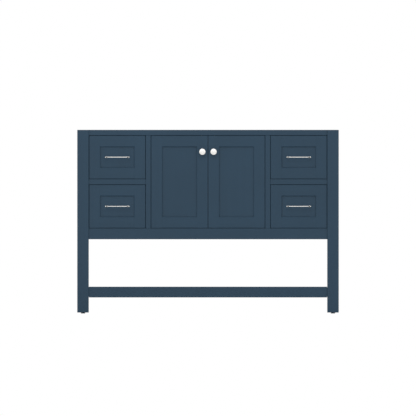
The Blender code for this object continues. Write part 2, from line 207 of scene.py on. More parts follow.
# ---------------------------------------------------------------------------------------------
# Node trees


def add_node(tree, kind, inputs=None, **settings):
    """Adds a node, sets it up and fills its inputs with values or links."""
    made = tree.nodes.new(kind)
    for key, value in settings.items():
        setattr(made, key, value)
    for socket, value in (inputs or {}).items():
        if isinstance(value, bpy.types.NodeSocket):
            tree.links.new(value, made.inputs[socket])
        else:
            made.inputs[socket].default_value = value
    return made


def maths(tree, operation, *values):
    """The result socket of a Math node on values or sockets."""
    return add_node(tree, "ShaderNodeMath", dict(enumerate(values)), operation=operation).outputs[0]


def noise(tree, vector, scale, detail=2.0, roughness=0.5):
    """The value socket of a Noise Texture."""
    return add_node(tree, "ShaderNodeTexNoise", {
        "Vector": vector, "Scale": scale, "Detail": detail, "Roughness": roughness,
    }).outputs["Fac"]


def spread(tree, value, low, high, source_low=0.3, source_high=0.7):
    """A value, mostly between two source limits, spread between two others."""
    return add_node(tree, "ShaderNodeMapRange", {
        "Value": value, "From Min": source_low, "From Max": source_high,
        "To Min": low, "To Max": high,
    }).outputs["Result"]


def stretched(tree, vector, scale, centre=(0.0, 0.0, 0.0), turn=(0.0, 0.0, 0.0)):
    """A vector centred on a place, turned, then scaled along each axis."""
    return add_node(tree, "ShaderNodeMapping", {
        "Vector": vector, "Location": centre, "Rotation": turn, "Scale": scale,
    }, vector_type="TEXTURE" if any(centre) or any(turn) else "POINT").outputs["Vector"]


def blended(tree, factor, first, second):
    """The colour socket of a mix of two colours."""
    return add_node(tree, "ShaderNodeMix", {0: factor, 6: first, 7: second},
                    data_type="RGBA").outputs[2]


def scaled(tree, tint, factor):
    """The vector socket of a colour times a factor."""
    return add_node(tree, "ShaderNodeVectorMath", {0: tint, "Scale": factor},
                    operation="SCALE").outputs[0]


def axes_of(tree, vector):
    """The X, Y and Z sockets of a vector."""
    return add_node(tree, "ShaderNodeSeparateXYZ", {"Vector": vector}).outputs


def vector_of(tree, x=0.0, y=0.0, z=0.0):
    """The vector socket of three values or sockets."""
    return add_node(tree, "ShaderNodeCombineXYZ", {"X": x, "Y": y, "Z": z}).outputs[0]


def distance(tree, a, b):
    """The length of a vector with two parts."""
    squares = [maths(tree, "MULTIPLY", part, part) for part in (a, b)]
    return maths(tree, "SQRT", maths(tree, "ADD", *squares))


def new_group(name, kind, takes, gives):
    """An empty node group with its named sockets, and its input and output nodes."""
    tree = bpy.data.node_groups.new(name, kind)
    for label, socket, default in takes:
        made = tree.interface.new_socket(label, in_out="INPUT", socket_type=f"NodeSocket{socket}")
        if default is not None:
            made.default_value = default
    for label, socket in gives:
        tree.interface.new_socket(label, in_out="OUTPUT", socket_type=f"NodeSocket{socket}")
    return tree, tree.nodes.new("NodeGroupInput").outputs, tree.nodes.new("NodeGroupOutput")


SURFACE = [("Colour", "Color"), ("Roughness", "Float"), ("Height", "Float")]


def close_group(tree, end, colour_socket, roughness, height):
    for label, socket in zip(("Colour", "Roughness", "Height"),
                             (colour_socket, roughness, height)):
        tree.links.new(socket, end.inputs[label])
    return tree


def shared_group(name, build):
    """A node group that is built once and then shared."""
    return bpy.data.node_groups.get(name) or build(name)


def lacquer_film(name):
    """Sprayed lacquer: a slow wander in tone, uneven gloss, and fine orange peel over the grain."""
    tree, given, end = new_group(name, "ShaderNodeTree", [
        ("Place", "Vector", None), ("Grain Place", "Vector", None),
        ("Colour", "Color", None), ("Mottling", "Float", 0.05), ("Gloss", "Float", 0.45),
    ], SURFACE)
    cloud = noise(tree, given["Place"], 2.4, 3.0, 0.6)
    streak = noise(tree, given["Grain Place"], 26.0, 2.0)
    wander = maths(tree, "MULTIPLY_ADD", streak, 0.35, maths(tree, "MULTIPLY", cloud, 0.65))
    low = maths(tree, "SUBTRACT", 1.0, given["Mottling"])
    high = maths(tree, "ADD", 1.0, given["Mottling"])
    tone = spread(tree, wander, low, high, 0.38, 0.62)
    tinted = scaled(tree, given["Colour"], tone)
    patches = noise(tree, given["Place"], 38.0, 3.0)
    roughness = maths(tree, "ADD", given["Gloss"], spread(tree, patches, -0.025, 0.03))
    peel = noise(tree, given["Place"], 620.0, 1.0)
    grain = noise(tree, given["Grain Place"], 240.0, 2.0)
    height = maths(tree, "MULTIPLY_ADD", grain, 0.45, maths(tree, "MULTIPLY", peel, 0.55))
    return close_group(tree, end, tinted, roughness, height)


def wood_grain(name):
    """Growth rings around a distant pith and fine fibres, with the grain along the place's X."""
    tree, given, end = new_group(name, "ShaderNodeTree", [
        ("Place", "Vector", None), ("Light", "Color", None), ("Dark", "Color", None),
    ], SURFACE)
    slow = stretched(tree, given["Place"], (0.9, 6.0, 6.0))
    drift = noise(tree, slow, 1.6, 3.0)
    apart = axes_of(tree, given["Place"])
    pith = distance(tree, maths(tree, "ADD", apart["Y"], 0.11),
                    maths(tree, "ADD", apart["Z"], 0.23))
    swayed = maths(tree, "MULTIPLY_ADD", drift, 0.045, pith)
    rings = maths(tree, "SINE", maths(tree, "MULTIPLY", swayed, 560.0))
    fibres = noise(tree, stretched(tree, given["Place"], (9.0, 420.0, 420.0)), 1.0, 3.0, 0.6)
    dark = maths(tree, "MULTIPLY_ADD", rings, 0.14, spread(tree, fibres, 0.05, 0.55))
    tinted = blended(tree, dark, given["Light"], given["Dark"])
    roughness = spread(tree, fibres, 0.42, 0.60)
    return close_group(tree, end, tinted, roughness, fibres)


def drawn_metal(name):
    """Plated metal with fine lines across the place's X, uneven gloss and faint smears."""
    tree, given, end = new_group(name, "ShaderNodeTree", [
        ("Place", "Vector", None), ("Line Place", "Vector", None),
        ("Colour", "Color", None), ("Gloss", "Float", 0.3),
    ], SURFACE)
    lines = noise(tree, given["Line Place"], 1.0, 3.0, 0.6)
    smears = noise(tree, given["Place"], 90.0, 3.0)
    tone = maths(tree, "ADD", spread(tree, lines, 0.965, 1.02), spread(tree, smears, -0.02, 0.02))
    tinted = scaled(tree, given["Colour"], tone)
    uneven = maths(tree, "ADD", spread(tree, lines, -0.05, 0.05), spread(tree, smears, -0.04, 0.06))
    return close_group(tree, end, tinted, maths(tree, "ADD", given["Gloss"], uneven), lines)


def moulded_skin(name):
    """Moulded plastic or felt: a fine random texture with a slight change of tone."""
    tree, given, end = new_group(name, "ShaderNodeTree", [
        ("Place", "Vector", None), ("Colour", "Color", None), ("Gloss", "Float", 0.6),
        ("Texture", "Float", 1500.0),
    ], SURFACE)
    skin = noise(tree, given["Place"], given["Texture"], 2.0)
    patches = noise(tree, given["Place"], 120.0, 2.0)
    tinted = scaled(tree, given["Colour"], spread(tree, patches, 0.88, 1.12))
    roughness = maths(tree, "ADD", given["Gloss"], spread(tree, skin, -0.08, 0.08))
    return close_group(tree, end, tinted, roughness, skin)


# ---------------------------------------------------------------------------------------------
# Materials

AXIS_SCALES = {"x": (0.06, 1.0, 1.0), "y": (1.0, 0.06, 1.0), "z": (1.0, 1.0, 0.06)}
GRAIN_TURNS = {"x": (0.0, 0.0, 0.0), "y": (0.0, 0.0, pi / 2)}
GRAIN_CENTRE = (0.0, 0.0, 0.75)


def start_material(name, slot):
    """A material with its Principled shader, its tree and its object coordinates."""
    made = bpy.data.materials.new(name)
    made.use_nodes = True
    made["slot"] = slot
    tree = made.node_tree
    shader = tree.nodes["Principled BSDF"]
    place = add_node(tree, "ShaderNodeTexCoord").outputs["Object"]
    return made, tree, shader, place


def dress_shader(tree, shader, surface, relief, metallic=0.0):
    """Feeds a surface group's outputs to the shader, with its height as a shallow bump."""
    tree.links.new(surface.outputs["Colour"], shader.inputs["Base Color"])
    tree.links.new(surface.outputs["Roughness"], shader.inputs["Roughness"])
    bump = add_node(tree, "ShaderNodeBump", {
        "Height": surface.outputs["Height"], "Distance": relief, "Strength": 0.6})
    tree.links.new(bump.outputs["Normal"], shader.inputs["Normal"])
    shader.inputs["Metallic"].default_value = metallic


def surface_node(tree, name, build, inputs):
    """A shared surface group placed in a material with its own values."""
    return add_node(tree, "ShaderNodeGroup", inputs, node_tree=shared_group(name, build))


def paint_material(axis):
    """Satin lacquer over a board whose grain runs along one axis."""
    made, tree, shader, place = start_material(f"painted_along_{axis}", "navy_paint")
    surface = surface_node(tree, "Lacquer Film", lacquer_film, {
        "Place": place, "Grain Place": stretched(tree, place, AXIS_SCALES[axis]),
        "Colour": (*finishes().paint, 1.0), "Mottling": finishes().mottling,
        "Gloss": finishes().paint_roughness,
    })
    dress_shader(tree, shader, surface, 0.00005)
    shader.inputs["Specular IOR Level"].default_value = 0.35
    return made


def birch_material(axis):
    """Clear-lacquered solid birch with its grain along one axis."""
    made, tree, shader, place = start_material(f"birch_along_{axis}", "birch_plywood")
    surface = surface_node(tree, "Wood Grain", wood_grain, {
        "Place": stretched(tree, place, (1.0, 1.0, 1.0), GRAIN_CENTRE, GRAIN_TURNS[axis]),
        "Light": (*finishes().birch, 1.0), "Dark": (*finishes().birch_ring, 1.0),
    })
    dress_shader(tree, shader, surface, 0.00006)
    return made


def metal_material(name, slot, tint, gloss, line_scale, centre=None):
    """Plated metal. Lines run along the axis with the smallest scale, or round a centre."""
    made, tree, shader, place = start_material(name, slot)
    if centre is not None:
        centred = stretched(tree, place, (1.0, 1.0, 1.0), centre)
        apart = axes_of(tree, centred)
        radius = distance(tree, apart["X"], apart["Z"])
        lines = vector_of(tree, maths(tree, "MULTIPLY", radius, line_scale[0]),
                          maths(tree, "MULTIPLY", apart["Y"], line_scale[1]))
    else:
        lines = stretched(tree, place, line_scale)
    surface = surface_node(tree, "Drawn Metal", drawn_metal, {
        "Place": place, "Line Place": lines, "Colour": (*tint, 1.0), "Gloss": gloss})
    dress_shader(tree, shader, surface, 0.000008, metallic=1.0)
    return made


def moulded_material(name, slot, tint, gloss, texture):
    made, tree, shader, place = start_material(name, slot)
    surface = surface_node(tree, "Moulded Skin", moulded_skin, {
        "Place": place, "Colour": (*tint, 1.0), "Gloss": gloss, "Texture": texture})
    dress_shader(tree, shader, surface, 0.00003)
    return made


def material(name):
    """A shared material by name, made the first time it is asked for."""
    made, look = bpy.data.materials.get(name), finishes()
    if made:
        return made
    wood, _, axis = name.partition("_along_")
    if axis:
        return {"painted": paint_material, "birch": birch_material}[wood](axis)
    satin = look.nickel_roughness
    metals = {
        "nickel_bar": ("satin_nickel", look.bar, satin, (2500.0, 60.0, 60.0)),
        "dark_nickel": ("satin_nickel", look.dark_nickel, 0.42, (900.0, 60.0, 900.0)),
        # Dark nickel of the pulls' collars: painted shade at the necks
        "nickel_plate": ("hinge_nickel", look.nickel, satin, (900.0, 900.0, 60.0)),
        "zinc_plate": ("runner_zinc", look.steel, look.steel_roughness, (900.0, 12.0, 900.0)),
    }
    if name in metals:
        return metal_material(name, *metals[name])
    moulded = {"nylon": (look.nylon, 0.55, 1400.0), "felt": (look.felt, 0.95, 2600.0)}
    return moulded_material(name, "black_nylon", *moulded[name])


# ---------------------------------------------------------------------------------------------
# Shapes


def arc(centre, radius, start, end, steps):
    """Points along an arc in a plane, with its angles in degrees."""
    angles = [radians(start + (end - start) * n / steps) for n in range(steps + 1)]
    return [(centre[0] + radius * cos(a), centre[1] + radius * sin(a)) for a in angles]


def ribbon(path, thickness):
    """The closed outline of a path made thick to both sides."""
    outer, inner = [], []
    for n, (a, b) in enumerate(path):
        before, after = path[max(n - 1, 0)], path[min(n + 1, len(path) - 1)]
        along = Vector((after[0] - before[0], after[1] - before[1])).normalized()
        outer.append((a - along.y * thickness / 2, b + along.x * thickness / 2))
        inner.append((a + along.y * thickness / 2, b - along.x * thickness / 2))
    return outer + inner[::-1]


def box_shape(corner, opposite, radius=0.0, segments=3):
    """A box between two opposite corners with rounded edges."""
    low, high = (Vector([pick(pair) for pair in zip(corner, opposite)]) for pick in (min, max))
    shape = bmesh.new()
    bmesh.ops.create_cube(shape, size=1.0)
    bmesh.ops.scale(shape, vec=high - low, verts=shape.verts)
    bmesh.ops.translate(shape, vec=(high + low) / 2, verts=shape.verts)
    if radius:
        bmesh.ops.bevel(shape, geom=shape.edges[:], offset=radius, segments=segments,
                        profile=0.5, affect="EDGES")
    return shape


def rod_shape(low, high, radius, grow):
    """A straight board with its long edges rounded, its square ends grown into its neighbours."""
    size = high - low
    along = max(range(3), key=lambda n: size[n])
    a, b = (n for n in range(3) if n != along)
    corners = ((low[a], low[b], 180), (high[a], low[b], 270), (high[a], high[b], 0),
               (low[a], high[b], 90))
    outline = []
    for x, y, angle in corners:
        inside = (x + radius * (1 if x == low[a] else -1), y + radius * (1 if y == low[b] else -1))
        outline += arc(inside, radius, angle, angle + 90, 3)

    def place(x, y, depth):
        point = Vector()
        point[a], point[b], point[along] = x, y, depth
        return point

    return prism_shape(outline, low[along] - grow, high[along] + grow, place)


def prism_shape(outline, start, end, place):
    """An outline pushed from one depth to another. Place turns (a, b, depth) into a vector."""
    shape = bmesh.new()
    near, far = ([shape.verts.new(place(a, b, depth)) for a, b in outline]
                 for depth in (start, end))
    shape.faces.new(near)
    shape.faces.new(far)
    for n in range(len(outline)):
        shape.faces.new((near[n - 1], near[n], far[n], far[n - 1]))
    return shape


def turned_shape(profile, centre, axis="z", steps=64):
    """A solid of revolution from points of radius and distance along an axis."""
    shape = bmesh.new()
    points = [shape.verts.new((radius, 0.0, along)) for radius, along in profile]
    line = [shape.edges.new(pair) for pair in zip(points, points[1:])]
    bmesh.ops.spin(shape, geom=points + line, axis=(0, 0, 1), cent=(0, 0, 0), angle=2 * pi,
                   steps=steps)
    bmesh.ops.remove_doubles(shape, verts=shape.verts, dist=1e-6)
    turns = {"z": Matrix(), "x": Matrix.Rotation(pi / 2, 4, "Y"),
             "-y": Matrix.Rotation(pi / 2, 4, "X"), "y": Matrix.Rotation(-pi / 2, 4, "X")}
    bmesh.ops.transform(shape, matrix=Matrix.Translation(centre) @ turns[axis], verts=shape.verts)
    return shape


def plug_profile(radius, start, end):
    """The profile of a plain round plug or bore, for turned_shape."""
    return [(0, start), (radius, start), (radius, end), (0, end)]


def joined_shape(*shapes):
    """Several closed shapes as one."""
    whole = bmesh.new()
    for shape in shapes:
        mesh = bpy.data.meshes.new("joined")
        shape.to_mesh(mesh)
        shape.free()
        whole.from_mesh(mesh)
        bpy.data.meshes.remove(mesh)
    return whole


def combined_shape(shape, tool, operation="DIFFERENCE"):
    """One shape cut by or united with another."""
    holders = []
    for part in (shape, tool):
        bmesh.ops.recalc_face_normals(part, faces=part.faces)
        mesh = bpy.data.meshes.new("working_mesh")
        part.to_mesh(mesh)
        part.free()
        holders.append(bpy.data.objects.new("working_shape", mesh))
        bpy.context.scene.collection.objects.link(holders[-1])
    boolean = holders[0].modifiers.new("combine", "BOOLEAN")
    boolean.operation, boolean.object, boolean.solver = operation, holders[1], "EXACT"
    result = bmesh.new()
    result.from_object(holders[0], bpy.context.evaluated_depsgraph_get())
    for holder in holders:
        bpy.data.objects.remove(holder, do_unlink=True)
    return result


def add_piece(name, shape, finish, body, replaces=(), sharp=40.0):
    """Turns a shape into a piece in one finish that rides on a body."""
    if isinstance(shape, bpy.types.Mesh):
        grown, shape = shape, bmesh.new()
        shape.from_mesh(grown)
        bpy.data.meshes.remove(grown)
    bmesh.ops.recalc_face_normals(shape, faces=shape.faces)
    mesh = bpy.data.meshes.new(name)
    shape.to_mesh(mesh)
    shape.free()
    coat = material(finish) if isinstance(finish, str) else finish
    mesh.materials.clear()
    mesh.materials.append(coat)
    mesh.shade_smooth()
    mesh.set_sharp_from_angle(angle=radians(sharp))
    piece = bpy.data.objects.new(name, mesh)
    bpy.context.scene.collection.objects.link(piece)
    weighted = piece.modifiers.new("flat_faces", "WEIGHTED_NORMAL")
    weighted.keep_sharp = True
    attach(piece, body)
    if replaces:
        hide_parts(*replaces)
    return piece


def board_piece(node, finish):
    """A straight board in place of a CAD node, let into the pieces at its ends."""
    radius = joinery().edge_radius
    shape = rod_shape(*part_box(node), radius, radius + GAP)
    return add_piece(f"{node}_wood", shape, finish, "frame", [node])


def tenoned_board(node, finish):
    """A frame member in place of a CAD node, with a shadow line and a hidden tenon at each end."""
    low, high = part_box(node)
    radius = joinery().edge_radius
    board = rod_shape(low, high, radius, -joinery().shadow)
    along = max(range(3), key=lambda n: (high - low)[n])
    inset = Vector([joinery().shadow_depth] * 3)
    inset[along] = -radius - GAP
    shape = combined_shape(board, box_shape(low + inset, high - inset), "UNION")
    return add_piece(f"{node}_wood", shape, finish, "frame", [node])


def notched_board(node, finish):
    """A board between the four legs, notched around each, in place of a CAD node."""
    low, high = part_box(node)
    notch_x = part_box("front_right_post")[0].x - GAP
    front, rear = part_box("front_right_post")[1].y + GAP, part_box("rear_right_post")[0].y - GAP
    right = [(notch_x, low.y), (notch_x, front), (high.x, front), (high.x, rear),
             (notch_x, rear), (notch_x, high.y)]
    outline = right + [(-x, y) for x, y in reversed(right)]
    shape = prism_shape(outline, low.z, high.z, lambda a, b, z: (a, b, z))
    bmesh.ops.bevel(shape, geom=shape.edges[:], offset=joinery().edge_radius / 2, segments=2,
                    profile=0.5, affect="EDGES")
    return add_piece(f"{node}_wood", shape, finish, "frame", [node])


# ---------------------------------------------------------------------------------------------
# Geometry Nodes: what repeats


def grown_mesh(name, build, values, base=None, finish="zinc_plate"):
    """What a shared Geometry Nodes tree makes of a mesh or of nothing, as a plain mesh."""
    tree, values = shared_group(name, build), {**values, "Material": material(finish)}
    holder = bpy.data.objects.new("holder", base or bpy.data.meshes.new("start"))
    bpy.context.scene.collection.objects.link(holder)
    modifier = holder.modifiers.new("grow", "NODES")
    modifier.node_group = tree
    for item in tree.interface.items_tree:
        if item.in_out == "INPUT" and item.name in values:
            modifier[item.identifier] = values[item.name]
    graph = bpy.context.evaluated_depsgraph_get()
    mesh = bpy.data.meshes.new_from_object(holder.evaluated_get(graph), depsgraph=graph)
    holder.modifiers.remove(modifier)
    bpy.data.objects.remove(holder, do_unlink=True)
    return mesh


def geometry_tree(name, takes):
    """An empty Geometry Nodes tree with named inputs and a material input."""
    return new_group(name, "GeometryNodeTree", [
        ("Geometry", "Geometry", None), *takes, ("Material", "Material", None),
    ], [("Geometry", "Geometry")])


def close_tree(tree, given, end, geometry):
    """Ends a tree in real geometry with its material."""
    real = add_node(tree, "GeometryNodeRealizeInstances", {"Geometry": geometry})
    coated = add_node(tree, "GeometryNodeSetMaterial", {
        "Geometry": real.outputs["Geometry"], "Material": given["Material"]})
    tree.links.new(coated.outputs["Geometry"], end.inputs["Geometry"])
    return tree


def screw_tree(name):
    """Pan-head screws with a cross recess on points, all looking the same way."""
    tree, given, end = geometry_tree(name, [
        ("Facing", "Vector", (0.0, 0.0, 1.0)), ("Radius", "Float", 0.0036),
        ("Height", "Float", 0.0018), ("Recess", "Float", 1.0)])
    radius, height = given["Radius"], given["Height"]
    head = add_node(tree, "GeometryNodeMeshCone", {
        "Vertices": 20, "Radius Top": maths(tree, "MULTIPLY", radius, 0.72),
        "Radius Bottom": radius, "Depth": height}).outputs["Mesh"]
    long_side = maths(tree, "MULTIPLY", maths(tree, "MULTIPLY", radius, 1.05), given["Recess"])
    slim_side = maths(tree, "MULTIPLY", maths(tree, "MULTIPLY", radius, 0.26), given["Recess"])
    for x, y in ((long_side, slim_side), (slim_side, long_side)):
        blade = add_node(tree, "GeometryNodeMeshCube", {"Size": vector_of(tree, x, y, height)})
        blade = add_node(tree, "GeometryNodeTransform", {
            "Geometry": blade.outputs["Mesh"], "Translation": vector_of(tree, z=height)})
        cut = add_node(tree, "GeometryNodeMeshBoolean", {"Mesh 1": head},
                       operation="DIFFERENCE", solver="EXACT")
        tree.links.new(blade.outputs["Geometry"], cut.inputs["Mesh 2"])
        head = cut.outputs["Mesh"]
    turn = add_node(tree, "FunctionNodeAlignRotationToVector", {"Vector": given["Facing"]},
                    axis="Z")
    points = add_node(tree, "GeometryNodeInstanceOnPoints", {
        "Points": given["Geometry"], "Instance": head,
        "Rotation": turn.outputs["Rotation"]}).outputs["Instances"]
    return close_tree(tree, given, end, points)


def ball_tree(name):
    """A straight row of balls along +Y."""
    tree, given, end = geometry_tree(name, [
        ("Radius", "Float", 0.003), ("Pitch", "Float", 0.011), ("Count", "Int", 8)])
    line = add_node(tree, "GeometryNodeMeshLine", {
        "Count": given["Count"], "Offset": vector_of(tree, y=given["Pitch"])}).outputs["Mesh"]
    ball = add_node(tree, "GeometryNodeMeshIcoSphere", {
        "Radius": given["Radius"], "Subdivisions": 3}).outputs["Mesh"]
    row = add_node(tree, "GeometryNodeInstanceOnPoints", {"Points": line, "Instance": ball})
    return close_tree(tree, given, end, row.outputs["Instances"])


def pin_tree(name):
    """Dovetail pins in a column along +Z, wide at +Y and narrow at -Y."""
    tree, given, end = geometry_tree(name, [
        ("Count", "Int", 4), ("Pitch", "Float", 0.035), ("Wide", "Float", 0.011),
        ("Narrow", "Float", 0.0075), ("Depth", "Float", 0.012), ("Length", "Float", 0.012)])
    line = add_node(tree, "GeometryNodeMeshLine", {
        "Count": given["Count"], "Offset": vector_of(tree, z=given["Pitch"])}).outputs["Mesh"]
    block = add_node(tree, "GeometryNodeMeshCube", {
        "Size": vector_of(tree, given["Length"], given["Depth"], given["Wide"])}).outputs["Mesh"]
    apart = axes_of(tree, add_node(tree, "GeometryNodeInputPosition").outputs[0])
    slim = maths(tree, "DIVIDE", given["Narrow"], given["Wide"])
    factor = add_node(tree, "ShaderNodeMapRange", {
        "Value": apart["Y"], "From Min": maths(tree, "MULTIPLY", given["Depth"], -0.5),
        "From Max": maths(tree, "MULTIPLY", given["Depth"], 0.5), "To Min": slim,
        "To Max": 1.0}).outputs["Result"]
    tapered = vector_of(tree, apart["X"], apart["Y"], maths(tree, "MULTIPLY", apart["Z"], factor))
    pin = add_node(tree, "GeometryNodeSetPosition", {
        "Geometry": block, "Position": tapered}).outputs["Geometry"]
    column = add_node(tree, "GeometryNodeInstanceOnPoints", {"Points": line, "Instance": pin})
    return close_tree(tree, given, end, column.outputs["Instances"])


def thread_tree(name):
    """A screw thread that winds up around Z."""
    tree, given, end = geometry_tree(name, [
        ("Radius", "Float", 0.0038), ("Pitch", "Float", 0.00125), ("Length", "Float", 0.03)])
    turns = maths(tree, "DIVIDE", given["Length"], given["Pitch"])
    spiral = add_node(tree, "GeometryNodeCurveSpiral", {
        "Resolution": 24, "Rotations": turns, "Start Radius": given["Radius"],
        "End Radius": given["Radius"], "Height": given["Length"]}).outputs["Curve"]
    ridge = add_node(tree, "GeometryNodeCurvePrimitiveCircle", {
        "Resolution": 3, "Radius": maths(tree, "MULTIPLY", given["Pitch"], 0.4)}).outputs["Curve"]
    wound = add_node(tree, "GeometryNodeCurveToMesh", {
        "Curve": spiral, "Profile Curve": ridge, "Fill Caps": True}).outputs["Mesh"]
    return close_tree(tree, given, end, wound)


def screws(name, places, facing, body, radius=None, recess=1.0):
    """Screw heads at places, all looking one way, as one piece."""
    radius = radius or hardware().screw_head
    points = bpy.data.meshes.new("points")
    points.from_pydata([tuple(place) for place in places], [], [])
    mesh = grown_mesh("Screw Heads", screw_tree, {
        "Facing": [float(x) for x in facing], "Radius": radius, "Height": radius * 0.55,
        "Recess": recess}, points)
    return add_piece(name, mesh, "zinc_plate", body, sharp=30.0)


# ---------------------------------------------------------------------------------------------
# Pieces


class VANITY_OT_legs(bpy.types.Operator):
    """Square legs with eased edges, bored from below for their levelling feet"""

    bl_idname = "vanity.legs"
    bl_label = "Legs"

    def execute(self, context):
        for end in ENDS:
            for side in SIDES:
                node = f"{end}_{side}_post"
                low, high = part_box(node)
                centre = (low + high) / 2
                bore = plug_profile(hardware().bore_radius, -GAP, hardware().bore_depth)
                bore = turned_shape(bore, (centre.x, centre.y, low.z), steps=32)
                leg = combined_shape(box_shape(low, high, joinery().leg_radius, 4), bore)
                add_piece(f"{node}_wood", leg, "painted_along_z", "frame", [node])
        return {"FINISHED"}


class VANITY_OT_feet(bpy.types.Operator):
    """Round nylon glides on threaded steel stems"""

    bl_idname = "vanity.feet"
    bl_label = "Levelling Feet"

    def execute(self, context):
        for end in ENDS:
            for side in SIDES:
                self.foot(f"{end}_{side}")
        return {"FINISHED"}

    def foot(self, corner):
        node, body = f"{corner}_leveller", f"{corner}_foot"
        low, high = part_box(node)
        radius, centre = (high.x - low.x) / 2, (low + high) / 2
        pad_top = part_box(f"{corner}_post")[0].z - GAP - low.z
        round_edge = 0.0012
        pad = [(0, 0), *arc((radius - round_edge, round_edge), round_edge, -90, 0, 5),
               *arc((radius - round_edge / 2, pad_top - round_edge / 2), round_edge / 2, 0, 90, 3),
               (0, pad_top)]
        floor_point = Vector((centre.x, centre.y, low.z))
        add_piece(f"{corner}_glide", turned_shape(pad, floor_point), "nylon", body, [node])
        core, top, point = 0.0033, high.z - low.z, 0.0010
        stem = [(0, pad_top), (core, pad_top), (core, top - point), (core - point, top), (0, top)]
        add_piece(f"{corner}_stem", turned_shape(stem, floor_point, steps=24), "zinc_plate",
                  body, [node])
        pitch = hardware().thread_pitch
        mesh = grown_mesh("Screw Thread", thread_tree, {
            "Radius": core, "Pitch": pitch, "Length": top - pad_top - 4 * pitch})
        mesh.transform(Matrix.Translation(floor_point + Vector((0, 0, pad_top + 2 * pitch))))
        add_piece(f"{corner}_thread", mesh, "zinc_plate", body)


class VANITY_OT_front_frame(bpy.types.Operator):
    """Rails and mullions around the doors and drawers"""

    bl_idname = "vanity.front_frame"
    bl_label = "Front Frame"

    def execute(self, context):
        for node in ("top_rail", "bottom_rail", "left_divider_rail", "right_divider_rail"):
            tenoned_board(node, "painted_along_x")
        for side in SIDES:
            tenoned_board(f"{side}_mullion", "painted_along_z")
        return {"FINISHED"}


class VANITY_OT_sides(bpy.types.Operator):
    """Side panels: two rails and a recessed field between a front and a rear leg"""

    bl_idname = "vanity.sides"
    bl_label = "Side Panels"

    def execute(self, context):
        for side, sign in SIDES.items():
            node = f"{side}_side_panel"
            low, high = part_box(node)
            outer = high.x if sign > 0 else low.x
            thickness, bevel = high.x - low.x, joinery().sticking
            let_in = joinery().edge_radius
            front, rear = low.y - let_in, high.y + let_in
            rail_top, rail_bottom = joinery().side_top, joinery().side_bottom
            place = lambda depth, z, y: (outer - sign * depth, y, z)
            for name, edge, inner, way in (
                ("top_rail", high.z, high.z - rail_top, -1),
                ("bottom_rail", low.z, low.z + rail_bottom, 1),
            ):
                radius = joinery().edge_radius
                corner = arc((radius, edge + way * radius), radius, 180, 180 + way * 90, 3)
                outline = [*corner, (thickness, edge), (thickness, inner), (bevel, inner),
                           (0, inner - way * bevel)]
                add_piece(f"{side}_side_{name}", prism_shape(outline, front, rear, place),
                          "painted_along_y", "frame", [node])
            recess, seam = joinery().recess, joinery().joint
            shape = box_shape(place(recess, low.z + rail_bottom + seam, front),
                              place(thickness, high.z - rail_top - seam, rear))
            add_piece(f"{side}_side_field", shape, "painted_along_z", "frame", [node])
        return {"FINISHED"}


class VANITY_OT_case(bpy.types.Operator):
    """Floor, partitions and back of the case, its rear rail and the corner braces"""

    bl_idname = "vanity.case"
    bl_label = "Case"

    def execute(self, context):
        notched_board("cabinet_floor", "painted_along_x")
        for node in ("back_panel", "rear_top_rail"):
            board_piece(node, "painted_along_x")
        for side in SIDES:
            board_piece(f"{side}_partition", "painted_along_y")
        self.braces()
        self.nails()
        return {"FINISHED"}

    def braces(self):
        """Triangular braces in the upper corners of the middle bay."""
        size, thickness = joinery().brace, joinery().brace_thickness
        top = TOP_RAIL_HIGH.z - (TOP_RAIL_HIGH.z - TOP_RAIL_LOW.z - thickness) / 2
        for side, sign in SIDES.items():
            low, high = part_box(f"{side}_partition")
            x = (low.x if sign > 0 else high.x) - sign * GAP
            for end, y, way in (("front", TOP_RAIL_HIGH.y + GAP, 1),
                                ("rear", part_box("rear_top_rail")[0].y - GAP, -1)):
                tip = 0.006
                outline = [(x, y), (x - sign * size, y), (x - sign * size, y + way * tip),
                           (x - sign * tip, y + way * size), (x, y + way * size)]
                shape = prism_shape(outline, top - thickness, top, lambda a, b, z: (a, b, z))
                add_piece(f"{side}_{end}_brace", shape, "birch_along_x", "frame")
                spots = [(x - sign * a * size, y + way * b * size, top - thickness)
                         for a, b in ((0.6, 0.16), (0.16, 0.6))]
                screws(f"{side}_{end}_brace_screws", spots, (0, 0, -1), "frame")

    def nails(self):
        """A row of nail heads around the edge of the back."""
        low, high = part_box("back_panel")
        inset, pitch = 0.012, hardware().nail_pitch
        across = round((high.x - low.x - 2 * inset) / pitch)
        points = []
        for n in range(across + 1):
            x = low.x + inset + (high.x - low.x - 2 * inset) * n / across
            points += [(x, high.y, low.z + inset), (x, high.y, high.z - inset)]
        up = round((high.z - low.z - 2 * inset) / pitch)
        for n in range(1, up):
            z = low.z + inset + (high.z - low.z - 2 * inset) * n / up
            points += [(low.x + inset, high.y, z), (high.x - inset, high.y, z)]
        screws("back_nails", points, (0, 1, 0), "frame", hardware().nail_head, 0.3)


class VANITY_OT_shelf(bpy.types.Operator):
    """Stretchers between the legs, the shelf board that lies between them and its cleats"""

    bl_idname = "vanity.shelf"
    bl_label = "Lower Shelf"

    def execute(self, context):
        for node in ("front_stretcher", "rear_stretcher"):
            tenoned_board(node, "painted_along_x")
        for side in SIDES:
            tenoned_board(f"{side}_stretcher", "painted_along_y")
        notched_board("shelf_board", "painted_along_x")
        self.cleats()
        return {"FINISHED"}

    def cleats(self):
        """Two cleats that carry the shelf board, each with a row of screws."""
        low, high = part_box("shelf_board")
        size, inset = joinery().cleat, 0.030
        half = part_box("front_right_post")[0].x - inset
        for end, y, way in (("front", low.y, 1), ("rear", high.y, -1)):
            top = low.z - GAP
            shape = box_shape((-half, y, top - size), (half, y + way * size, top),
                              joinery().edge_radius)
            add_piece(f"{end}_shelf_cleat", shape, "painted_along_x", "frame")
            spots = [(x * half, y + way * size / 2, top - size)
                     for x in (-0.9, -0.45, 0.0, 0.45, 0.9)]
            screws(f"{end}_cleat_screws", spots, (0, 0, -1), "frame")


